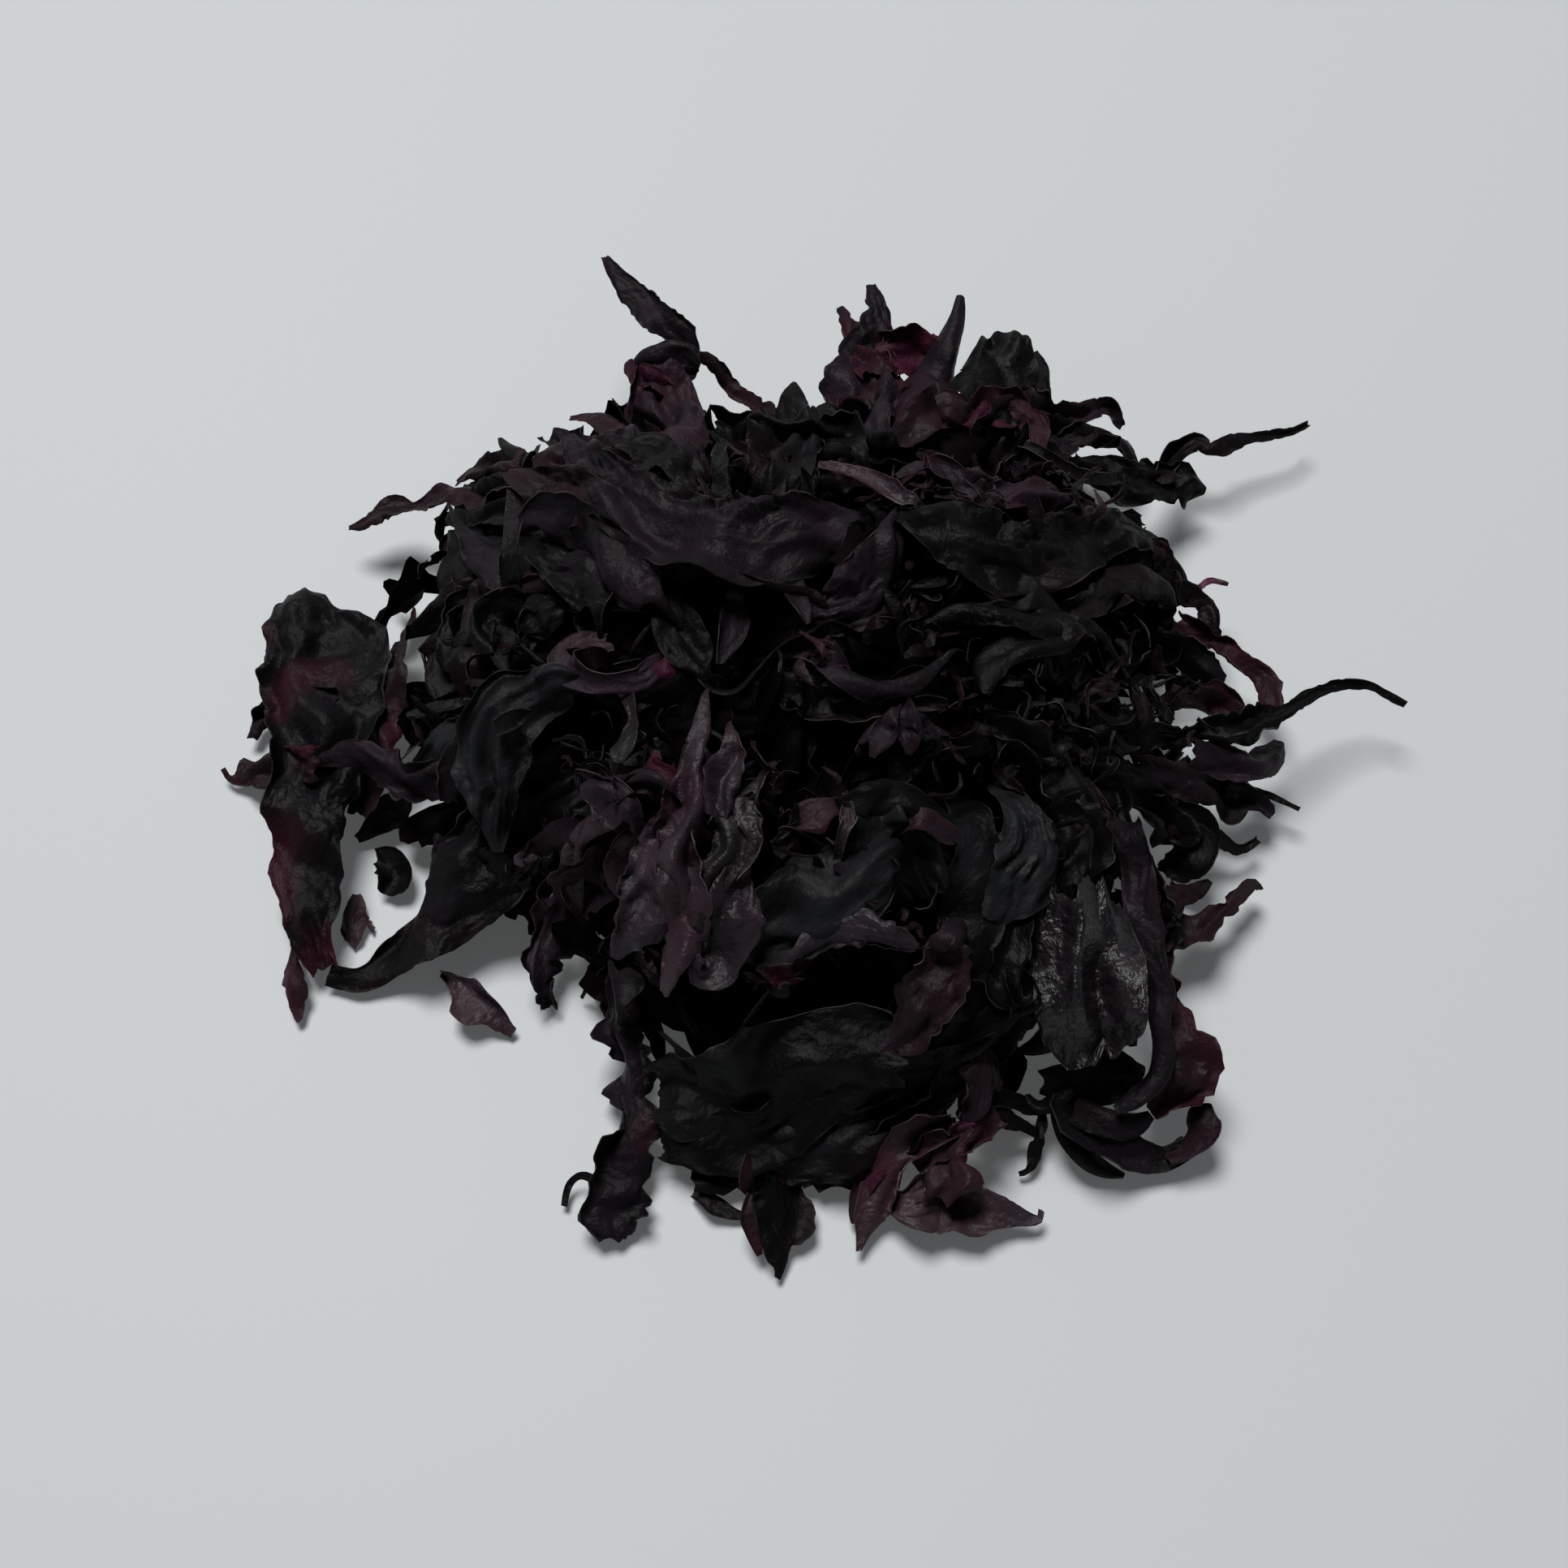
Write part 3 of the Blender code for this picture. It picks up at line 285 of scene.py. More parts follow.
        (60.4, -80.2, 9, 2.8), (59.1, -74.8, 11, 2.6), (59.7, -70.2, 13, 1.6), roll=15, curl=-60,
        ruffle=0.5, tint=0.2, glow=0.05, torn=0.1, pale=1.3),
    frond("curl_back", (77.6, -66.2, 14, 2), (73.2, -66, 13, 5), (66.8, -67.8, 12, 6.4),
        (60.5, -68.8, 12, 6), (55.5, -68.5, 12, 3), curl=-30, ruffle=0.8, tint=0, glow=0, torn=0.1),
    frond("curl_scallop", (51.9, -70.6, 10, 0.9), (54.2, -72.8, 10, 2.2), (57.7, -71, 12, 2.8),
        (61, -68.4, 14, 2.4), curl=-60, ruffle=1.6, tint=0.2, glow=0, torn=0.2, pale=1.3),
    frond("curl_flake", (77.5, -54.9, 12, 1), (75.6, -57.2, 12, 1.6), (75.4, -60.2, 12, 1.1), curl=50,
        tint=1, glow=0.6, torn=0.4),
    frond("curl_bridge", (78, -75.6, 11, 1.5), (75, -77.4, 11, 3.4), (70.5, -77.5, 12, 4.4),
        (65.5, -75.5, 13, 4.8), (61.5, -73, 13, 4), curl=-60, ruffle=0.8, tint=0.36, torn=0.15, pale=1.3),

    # front
    frond("front_fold", (-27, -72, 15, 8), (-15, -70, 20, 10.5), (-4, -66.5, 25, 12), (7, -62, 29, 10.5),
        (18, -60, 31, 9), (27, -62, 31, 6), curl=-15, ruffle=0.5, tint=-0.04, glow=0, torn=0.03, facing=0.8,
        pale=0.75),
    frond("front_rim", (-25, -82, 11, 5), (-11, -82, 13, 7), (0, -78, 17, 7), (10, -72, 21, 6),
        (21, -67, 24, 5.5), (32, -62, 26, 5), (43, -55.5, 29, 4), (54, -47, 33, 2.5), roll=10, curl=-30,
        ruffle=1, tint=0.1, glow=0, torn=0.1, facing=0.7, pale=0.8),
    frond("front_under", (2, -88, 6, 5), (12.6, -83, 8, 7.5), (20.5, -76, 12, 8.5), (28, -68.5, 17, 8),
        (35, -60, 22, 5), curl=-25, ruffle=0.9, glow=0.2, torn=0.1, facing=0.6, pale=0.8),
    frond("front_tube", (51.4, -41.6, 38, 8.6), (50.2, -43, 33, 9.2), (44.2, -48.5, 29, 9),
        (36, -54.2, 27, 7), (27, -59, 25, 5), roll=20, curl=155, ruffle=0, tint=0.1, glow=0, torn=0,
        facing=0.6, pale=0.9),
    frond("front_drop", (20.9, -61.9, 31, 1), (25.4, -57.2, 33, 4.4), (29.1, -51.5, 36, 6.4),
        (32.9, -45.7, 40, 6.8), (36.8, -39.8, 43, 6), (39.5, -34, 45, 4), curl=-40, ruffle=1.3, tint=0.7,
        glow=0.05, torn=0.5, facing=0.7, pale=0.75),
    frond("front_lobe", (-4.4, -94, 5, 2.5), (-4.4, -90.2, 8, 6), (-4, -85, 10, 5.6), curl=-40, ruffle=1.4,
        torn=0.3),
    frond("front_layer", (-25, -80, 7, 5), (-14, -82, 9, 7), (0, -82, 10, 8), (14, -81, 11, 8),
        (27, -74, 14, 7), (38, -62, 18, 6), curl=40, tint=-0.05, glow=0.1, torn=0.15),
    frond("front_hem", (-19, -90, 4, 3), (-8, -88, 6, 5), (4, -87, 6, 5), (17, -87, 6, 4.5),
        (28, -78, 8, 5), glow=0.4),
    frond("front_leaf", (-1.3, -110, 2, 0.7), (-1, -107.6, 2.5, 1.5), (-1.8, -103.6, 4, 4.4),
        (-1.2, -99.4, 5, 6.6), (-0.6, -95.6, 6, 7.2), (-1, -91, 6.5, 6.4), (-1.4, -86, 7.5, 4), curl=25,
        ruffle=0.7, tint=0.1, glow=0.1, torn=0.3),
    frond("front_leaf_red", (-5, -105.5, 4, 0.6), (-6, -101.9, 5.5, 1.6), (-6.8, -97.7, 7, 2.2),
        (-6, -93, 7.5, 1.8), curl=60, ruffle=0.8, tint=0.95, glow=0.2, torn=0.5, pale=0.9),
    frond("front_strand", (22, -80, 10, 5), (32, -70, 15, 6), (44, -60, 20, 6), (55, -48, 27, 5),
        (57, -36, 32, 4), curl=60, tint=0.1),
    frond("front_crinkle", (-35.6, -103, 3, 3.5), (-36, -97, 6, 7), (-33.5, -88.5, 8, 6.4),
        (-33.5, -80, 9, 7.5), (-33.5, -71, 11, 7.5), (-34, -62, 13, 7), (-35.7, -52, 16, 6.5),
        (-36, -42, 21, 5), curl=40, ruffle=2.2, tint=0.36, glow=0.5, torn=0.8, pale=1.1),
    frond("front_tendril", (-45.6, -95.5, 2, 0.7), (-45, -91, 3, 0.9), (-42.4, -88.8, 5, 0.9),
        (-38, -90.5, 6, 1), curl=0, ruffle=0, tint=0.2),
    frond("front_clump", (-51.5, -50, 4, 3.4), (-54, -41, 8, 6.4), (-52, -33, 13, 6.5), (-43, -20, 28, 6),
        curl=50, ruffle=1.8, tint=0.5, torn=0.9),
    frond("front_brown", (-46.2, -28.8, 18, 0.9), (-47.8, -20.5, 25, 3), (-48.6, -12, 32, 3),
        (-46, -6, 38, 3.8), (-38, -2.5, 43, 4.2), curl=-70, ruffle=0.8, tint=0.74, glow=0, torn=0.2,
        facing=0.85, pale=2),
    frond("front_drape", (-60.8, -21.8, 14, 0.9), (-59.4, -16, 19, 3), (-55.5, -11.4, 25, 3.2),
        (-48, -8, 33, 3.4), curl=-50, tint=0.42, torn=0.4, facing=0.85),
    frond("front_drape_low", (-34.6, -25.8, 30, 0.9), (-37.4, -19, 35, 3.2), (-37, -12.5, 39, 3.8),
        (-33, -7.5, 43, 3.4), curl=-50, tint=0.68, torn=0.3, facing=0.85, pale=1.5),
    frond("left_thread", (-49.2, -33.8, 10, 0.4), (-46, -27, 15, 0.5), (-45.6, -20, 21, 0.5),
        (-47, -13, 28, 0.4), curl=0, ruffle=0),
    frond("left_thread_low", (-69, -24.8, 6, 0.4), (-71.8, -19, 11, 0.5), (-70, -13, 17, 0.5),
        (-64, -8, 23, 0.6), curl=0, ruffle=0),
    frond("red_mass", (27.9, -87.3, 9, 2), (32.3, -83.7, 11, 4.4), (37.5, -81.6, 13, 5),
        (42.2, -79.3, 14, 5), (46.4, -76.2, 14, 3), roll=-20, curl=60, ruffle=2.4, tint=0.82, torn=1,
        pale=1.3),
    frond("red_crumple", (38.4, -76, 14, 3), (41, -71.5, 17, 5), (42, -66, 20, 5.4), (41, -60.5, 23, 4),
        roll=20, curl=60, ruffle=2.2, tint=0.66, torn=1),
    frond("red_strip", (15.3, -105, 3, 0.7), (16.4, -101.1, 4, 1.8), (18, -96.8, 5.5, 3.2),
        (20.4, -92.5, 7, 4), (22.4, -88.1, 9, 3.8), (24.2, -84.1, 11, 3.6), (27.2, -81.1, 13, 4.4),
        (31.6, -79.3, 14, 4.6), (36.5, -77.5, 15, 3.6), roll=-15, curl=70, ruffle=0.8, tint=0.84, torn=0.6,
        facing=0.8, pale=1.75),
    frond("red_prong", (14.4, -99, 3, 0.6), (15.1, -96, 4, 1.8), (16.4, -92.2, 6, 2.4), (20, -87.5, 9, 2),
        curl=50, tint=0.9, glow=0, torn=0.5),
    frond("red_leaf", (53.3, -96.3, 4.5, 0.6), (52.5, -98.2, 4, 0.9), (49.6, -98, 4.5, 1.8),
        (45.2, -96.9, 5.5, 3.4), (40.2, -95.8, 6.5, 5.4), (35.2, -94.4, 7, 7.4), (30.1, -94.4, 7, 6.6),
        (25.1, -95.1, 6, 3.8), (20.6, -94.1, 4.5, 1), curl=20, ruffle=0.5, tint=0.78, glow=0.05, torn=0.3,
        facing=0.8, pale=2.1),
    frond("red_stem", (33.1, -94.5, 9, 4.2), (34.5, -91.1, 10.5, 5.6), (35.1, -85.9, 12, 4.6),
        (36.6, -81.6, 13.5, 3.8), (38.5, -77, 15, 3.6), curl=15, tint=0.8, glow=0.1, torn=0.7, facing=0.8,
        pale=1.2),
    frond("dark_branch", (49.2, -88.3, 2, 0.6), (51.3, -87.3, 3, 1), (52.8, -83.7, 4, 1.8),
        (53.7, -80.2, 6, 2), (50.9, -78, 8, 1.8), (47.2, -76.2, 10, 2.8), (42.5, -74, 12, 4), curl=50,
        ruffle=0.5, tint=0.1),
    frond("branch_prong", (54.9, -75, 7, 0.8), (51.7, -73.3, 9, 2.3), (48.3, -72.4, 11, 2.5),
        (43, -71.5, 14, 3), curl=50, ruffle=0.4, tint=0.15),
    frond("branch_link", (54.8, -75, 7, 0.8), (54.4, -77.5, 6.5, 1.5), (53.7, -80.6, 6, 1.5), curl=50,
        ruffle=0.4, tint=0.1),
    frond("front_right_lobe", (46, -69, 15, 2), (43.4, -65, 18, 4.6), (40, -62.5, 20, 5), curl=-40,
        tint=0.7, glow=0.2, torn=0.5),

    # over the top of the mound
    frond("crown", (-57, 111, 48, 2), (-51, 102, 54, 5.2), (-43, 92, 59, 7.8), (-33, 83.5, 62, 10.4),
        (-22, 78, 63.5, 11.7), (-11, 76, 64, 11.7), (0, 78, 63, 10.4), (9, 82, 60, 7.8), (17, 85, 56, 2.6),
        curl=-12, ruffle=0.8, tint=0.46, glow=0, torn=0.08, pale=0.95),
    frond("crown_lip", (-27, 65, 58, 1.5), (-21, 67, 60.5, 3), (-13, 66, 61, 3.4), (-3, 62, 61, 3.2),
        (6, 59, 59, 3), (10, 54, 57, 1.5), roll=40, curl=-70, ruffle=0.5, tint=0.5, glow=0, torn=0.1,
        pale=0.8),
    frond("crown_back", (-49, 99, 50, 5.2), (-43, 105, 51, 6.5), (-35.5, 108, 51, 7.2), (-29, 100, 53, 7.2),
        (-23, 91, 56, 5.2), roll=-25, curl=-60, tint=0.15, torn=0.15),
    frond("crown_back_left", (-65, 101, 44, 1.5), (-60.5, 103, 46, 4), (-54, 102.5, 48, 5.5),
        (-46, 100, 50, 5), roll=-15, curl=40, ruffle=1.4, tint=0.78, glow=0.1, torn=0.5, pale=0.8),
    frond("crown_knot", (-16.5, 108, 52, 2), (-16.4, 101, 55, 3), (-15.2, 93, 56, 2.4),
        (-14.3, 87, 57, 2.6), curl=80, ruffle=1.6, tint=0.1),
    frond("crown_left", (-67, 82, 47, 1.8), (-63, 85, 50, 4.8), (-56.5, 84, 54, 6.6),
        (-49.5, 79.5, 57, 7.8), (-42.5, 70, 59, 7.8), (-36, 62.5, 60, 6), (-29, 56, 59, 1.2), roll=20,
        curl=-50, ruffle=0.7, tint=0.5, glow=0, torn=0.1, pale=0.85),
    frond("crown_wall", (-69.2, 93.5, 46, 1.8), (-68.8, 84, 47, 2.2), (-69, 75, 46, 2),
        (-68.2, 66.8, 44, 2.8), ruffle=0.3, tint=0.34, glow=0, torn=0.05, facing=0.9, pale=0.9),
    frond("crown_wedge", (-71.5, 98.5, 46, 1.5), (-66, 96, 49, 4.4), (-60, 94, 51, 6.5), (-53, 90, 54, 7.5),
        (-46, 84, 56, 5), tint=0.7, glow=0.1, torn=0.12, facing=0.8, pale=0.8),
    frond("crown_pit", (-68, 79, 40, 3), (-60, 81, 42, 8), (-49, 79, 45, 9), tint=0, glow=0, torn=0.1,
        facing=0.9),
    frond("crown_flap", (-57, 68, 48, 3.9), (-51, 65, 52, 6.5), (-46.5, 59.5, 54, 5.9),
        (-45.6, 52, 53, 0.8), roll=-15, torn=0.1),
    frond("crown_shade", (-60, 76, 44, 5.2), (-50, 66, 47, 9.1), (-44, 56, 48, 9.1), tint=0.1, glow=0.1,
        torn=0.3),
    frond("bowl_left", (-29.5, 60, 56, 3), (-26, 50, 55, 5), (-22, 41, 54, 4.6), (-18.5, 34, 53, 1.5),
        ruffle=0.5, tint=0, glow=0, torn=0.06, facing=0.9),
    frond("bowl_rim", (-20.5, 35, 53.5, 1), (-16.5, 32, 54, 1.8), (-11.5, 32.5, 54.5, 2.2),
        (-6.1, 39, 55.5, 2.6), (0, 45.5, 57, 2.8), (7, 49, 58, 2.6), (14, 51, 58.5, 1.6), roll=35, curl=60,
        ruffle=0.5, glow=0, torn=0.05, facing=0.9),
    frond("bowl_floor", (-25, 58, 47, 5), (-16, 47, 46, 9), (-6, 50, 47, 10), (4, 57, 49, 9),
        (12, 62, 50, 6), curl=20, tint=0, glow=0, torn=0.05, facing=0.9),
    frond("bowl_bulge", (29.5, 87, 57, 1.2), (26.5, 77, 59, 4.5), (23.5, 68, 60, 8), (19, 60, 59.5, 8.5),
        (12, 54.5, 58, 5.5), (6, 53, 56, 2.5), roll=-12, curl=-45, ruffle=0.6, tint=0.5, glow=0, torn=0.08,
        facing=0.6, pale=1.1),
    frond("crown_floor", (22, 99, 42, 4), (11, 97.5, 43, 8), (-3, 94, 43, 8), (-14, 90, 42, 5), tint=0,
        glow=0, torn=0.4),
    frond("bowl_inner", (-15.5, 39.5, 55, 1), (-14, 46, 55.5, 3.2), (-13, 53, 55.5, 3.8), (-12, 60, 55, 2),
        curl=70, ruffle=0.5, tint=0.5, torn=0.05),
    frond("bowl_thorn", (6, 51, 60, 0.5), (4.5, 57, 60, 2), (1, 64, 59, 3), curl=70, tint=0.45, torn=0.05),
    frond("curl_loop", (-43, 45.5, 50, 3), (-49.5, 45, 51, 4), (-52.5, 40, 52, 4.4), (-49.3, 36, 52.5, 3.4),
        (-42.3, 33.8, 53, 2.4), (-34.5, 34.8, 53, 3), (-30.4, 40, 52, 2.4), roll=35, curl=50, ruffle=0.5,
        tint=0.6, torn=0.1, pale=1.6),
    frond("red_bit", (-32.7, 37.8, 52, 1), (-28.7, 36.6, 52, 3.4), (-23, 35.9, 50, 2), curl=40, tint=1,
        glow=1),
    frond("spoon", (-38.6, 11.5, 55, 1.4), (-37.8, 15, 55.5, 3.6), (-37, 20.5, 55, 3), (-36.4, 25, 53, 1.3),
        (-38, 31, 50, 2), curl=60, ruffle=0.2, torn=0.05, pale=1.7),
    frond("red_leaf_high", (-45.5, 5.3, 50, 3.6), (-40, 1.6, 52, 6), (-33.5, -4.5, 52, 2.4), curl=50,
        tint=0.5, glow=0.1, pale=1.6),
    frond("magenta_leaf", (-30, 15, 53, 1), (-30, 8.2, 54, 4.2), (-24.5, 3.5, 54, 3), curl=50, tint=0.9,
        glow=0.7),
    frond("purple_frond", (-37.8, -39, 41, 1), (-32, -28, 48, 6.9), (-28.2, -17, 53, 8.5),
        (-25.4, -5, 56.5, 6.7), (-22.5, 6.5, 59, 4), (-20, 19, 60, 2.5), (-18.8, 31, 58, 0.6), curl=-35,
        ruffle=1.4, tint=0.58, glow=0.25, torn=0.5, facing=0.7, pale=1.66),
    frond("purple_fork", (-26.3, -47.5, 39, 1.2), (-24, -37, 45, 4.8), (-22.6, -27, 50, 6.2),
        (-23, -16, 54, 6.6), (-24.5, -4, 55.5, 4.4), curl=-30, ruffle=1.3, tint=0.7, glow=0.3, torn=0.45,
        facing=0.7, pale=1.66),
    frond("pink_strip", (-15.6, -3, 57, 2.6), (-13.8, 5, 59, 4.4), (-12.4, 13, 60, 3.6), (-12.8, 21, 59, 1),
        curl=60, ruffle=1, tint=0.64, glow=0.1, torn=0.45, pale=1.7),
    frond("grey_strip", (-19.5, -32, 49, 2.4), (-16.4, -22, 53, 4.8), (-13.2, -12, 56, 4.3),
        (-14.6, -4, 56, 3.4), (-20, 2, 54, 1.8), curl=-70, tint=0.36, torn=0.45, facing=0.7, pale=1.8),
    frond("grey_strip_high", (-11.5, -19, 53, 2), (-7.4, -11, 55, 3.4), (-8.5, -1.6, 57, 4),
        (-4.6, 9, 57, 1.6), roll=-30, curl=80, ruffle=1, tint=0.4, torn=0.5, facing=0.7, pale=1.8),
    frond("curled_strip", (-20.8, -38, 46, 1.9), (-17.8, -43, 45, 3.8), (-13, -38, 47, 5),
        (-12, -30, 49, 6), (-10.8, -20, 52, 4.1), (-9, -12, 53, 2.4), curl=-50, ruffle=1.1, tint=0.44,
        glow=0.1, torn=0.5, facing=0.7, pale=1.7),
    frond("pink_leaf", (1.5, -5.2, 54, 1.6), (6.4, -3.3, 55.5, 4.2), (13, -1, 54, 2), curl=50, tint=0.72,
        glow=0.1, torn=0.2, pale=1.4),
    frond("grey_curl", (14.4, 3, 54, 1), (15.6, -4, 56, 3.2), (12.8, -12.5, 53, 1.2), curl=90, torn=0.2,
        pale=2),
    frond("mid_dark", (40, -12, 49, 5.2), (33, -4, 53, 6.5), (24.5, -1.2, 55, 7.8), (15, -3, 55, 4.5),
        roll=-12, curl=-60, ruffle=1, tint=-0.05, glow=0, torn=0.2),
    frond("mid_slope", (33, -22, 46, 5.2), (27, -14.5, 49.5, 8.5), (22, -8, 52, 9.1), (20, 0, 53, 6.5),
        curl=-40, ruffle=1, tint=-0.1, glow=0, torn=0.25, facing=0.7),
    frond("mid_purple", (41, -9, 50, 1), (35, -6.5, 53, 3.2), (28, -5, 53, 3), curl=50, tint=0.7, glow=0.2,
        torn=0.3, pale=0.9),
    frond("mid_sheet", (-10.5, -38, 42, 3), (-2, -31, 46.5, 8.4), (8, -25.5, 50, 10.8),
        (18, -19, 51.5, 9.6), (26, -13, 50, 4.8), curl=-30, ruffle=1, tint=-0.2, glow=0, torn=0.2,
        facing=0.8),
    frond("light_leaf", (30, -36.5, 45, 1), (25, -34.2, 47, 4), (19, -32.3, 48.5, 5.6), (12, -33, 48, 5.2),
        (6, -36, 46, 3.4), (0.5, -41, 42, 1), roll=-15, curl=-60, ruffle=1.4, tint=0.6, glow=0.05,
        torn=0.45, facing=0.7, pale=1.9),
    frond("magenta_scrap", (-6, -40.8, 40, 1.2), (-0.2, -42.5, 41, 3), (7.5, -41.5, 24, 2), curl=40, tint=1,
        glow=0.8),
    frond("strands", (29, -57, 28, 4.8), (36.6, -43, 36, 6.6), (42.7, -29, 42, 7.2), (44.3, -16, 46, 6.6),
        (42, -2, 46, 4.2), tint=0, glow=0, torn=0.3, facing=0.8),
    frond("strands_right", (32.5, -63, 26, 3.8), (42, -51, 31, 5.6), (48, -37, 37, 6.2), (51, -23, 42, 6.2),
        (53, -8, 44, 5), roll=15, curl=50, tint=0.1, glow=0, torn=0.3, facing=0.8),
    frond("smooth_sheet", (46.5, -30, 42, 3), (54, -19, 45, 8), (57, -9, 46, 7), (54, 2, 45, 4), roll=10,
        curl=-25, ruffle=0.6, tint=-0.25, glow=0, torn=0.05, facing=0.8),
    frond("right_bowl", (28, 86, 57, 1), (34, 82, 59, 5.4), (44, 78.5, 58, 8.8), (56, 72, 55, 10.1),
        (68, 73, 50, 9.5), (79, 78.5, 43, 7.4), (91, 79, 34, 6.1), (97, 70, 25, 5.4), (99, 58, 18, 3.4),
        roll=-10, curl=-40, ruffle=1, tint=0.08, glow=0.05, torn=0.08),
    frond("right_pod", (71, 52.5, 45, 0.8), (77, 58, 43, 4), (86, 64.5, 39, 5.9), (94, 64, 32, 5),
        (97, 57, 25, 2.2), roll=-20, curl=-80, ruffle=0.2, tint=0.25, glow=0.1, torn=0.05),
    frond("mid_right", (36, 52, 54, 1), (43, 55.5, 56, 3.6), (50, 56, 56.5, 5.3), (60, 53, 54, 5.6),
        (70, 50, 50, 4.2), (78, 48, 45, 1), roll=-15, curl=-50, ruffle=0.9, tint=0.1, glow=0, torn=0.15),
    frond("mid_right_low", (48.5, 31, 52, 1), (50, 41, 54, 5.6), (57, 47, 54, 6.3), (66, 47, 51, 4.9),
        (74, 50, 47, 2.8), roll=-20, curl=-50, ruffle=0.8, tint=0.15, glow=0.1, torn=0.12),
    frond("dark_slope", (44, 72, 56, 3), (51, 66.5, 55, 5.4), (58, 61, 53, 6), (66, 55.5, 49, 3.8),
        curl=-50, ruffle=0.6, tint=0.1, torn=0.1),
    frond("pale_band", (2.5, 43, 55, 2.3), (8.5, 40, 57, 4.1), (15, 35.5, 58, 4.6), (24.3, 33, 57.5, 4.1),
        (32.2, 35.5, 56, 3.4), (38.5, 40.5, 54, 2.1), (43, 43.5, 52, 0.6), roll=-20, curl=-70, ruffle=1,
        tint=0.32, torn=0.2, pale=1.5),
    frond("band_root", (4, 47, 55, 2.5), (9, 45, 56.5, 3), (13, 38, 57, 2), curl=90, ruffle=2.2, tint=0.62,
        glow=0.2, torn=1),
    frond("pink_twig", (8.5, 101.5, 55, 0.9), (17.6, 99.4, 58, 1.8), (24, 95.2, 59, 2.6), (30, 90, 59, 2.8),
        (35.5, 86.5, 57, 1.2), roll=-20, curl=70, ruffle=0.8, tint=0.72, torn=0.4, pale=1.8),
    frond("ruffled_band", (29, 97, 54, 1.8), (36.5, 99.6, 54, 3.4), (42.7, 95.6, 54.5, 4.1),
        (50, 91, 54, 4.4), (61.2, 91, 50, 5.3), (71, 90, 45, 5.1), (81, 83, 40, 2.3), roll=-15, ruffle=1.8,
        tint=0.6, glow=0.1, torn=0.6, pale=1.2),
    frond("star_one", (21, 13, 54, 0.7), (24, 20, 56, 3.2), (27.5, 27.5, 56, 1), roll=-40, curl=60,
        tint=0.62, glow=0.1, torn=0.5),
    frond("star_two", (29.5, 13.5, 54, 0.6), (29.5, 20, 57, 3), (29, 28, 57, 1.6), curl=-80, tint=0.55,
        torn=0.4),
    frond("star_three", (39.5, 19, 53, 0.7), (34.5, 20.5, 56, 3.4), (29, 23, 57, 1.6), roll=25, curl=50,
        tint=0.5, torn=0.6),
    frond("star_four", (18, 17, 53, 0.7), (23, 21, 55.5, 2.6), (29, 24, 56, 1.4), roll=-35, curl=-60,
        tint=0.75, glow=0.2, torn=0.5),
    frond("small_purple", (-46, 6, 47, 5.6), (-37, 6, 52, 7), (-28, 4, 55, 5.6), curl=60, tint=0.55,
        pale=0.9),
    frond("mid_ridge", (-4, 36, 52, 3.9), (6, 32, 54, 5.2), (16, 27, 54, 5.2), (26, 25, 52, 2.6), roll=-30,
        curl=60, ruffle=1.4),

    # scraps that have fallen beside the heap
    frond("black_scrap", (-93.5, -13.5, 3, 2), (-90.5, -14.5, 4, 3.6), (-89, -19, 4, 4.2),
        (-90.5, -23, 3, 2), curl=60, tint=0, glow=0, torn=0.4),
    frond("brown_scrap", (-96.6, -23, 2, 1), (-96.2, -28, 3, 3.6), (-94.5, -33.5, 2, 5), ruffle=0.4,
        tint=0.8, glow=0.2, torn=0.5, pale=1.8),
    frond("loose_scrap", (-76, -42.5, 3, 1), (-70, -46.5, 4, 4), (-65, -51, 4, 4.6), (-59, -57, 2, 1.5),
        roll=15, curl=50, ruffle=0.6, tint=0.72, glow=0.3, torn=0.7, pale=2),
    frond("front_scrap", (-19, -92.5, 2, 1), (-14, -95, 3, 2.6), (-8, -97.5, 2, 0.8), curl=40, tint=0.4),
)


# Dark hollows between the fronds, where nothing fills the heap: (x, y, radius) as the eye sees them
HOLLOWS = (
    (-14, 57, 11), (2, 66, 9), (20, 73, 7), (-52, 75, 7), (-55, 52, 8), (-44, 22, 8),
    (-12, 29, 8), (8, 22, 8), (16, 50, 9), (38, 60, 10), (62, 30, 9), (56, 12, 10), (44, 4, 7),
    (35, -22, 6), (15, -47, 8), (-2, -50, 9), (-36, 6, 5), (-58, 18, 7), (76, 40, 7), (14, 100, 8),
    (-3, 96, 7), (78, -2, 7), (-56, 9, 6), (-54, -2, 5), (60, 88, 5), (-40, 100, 6), (6, 8, 6),
)


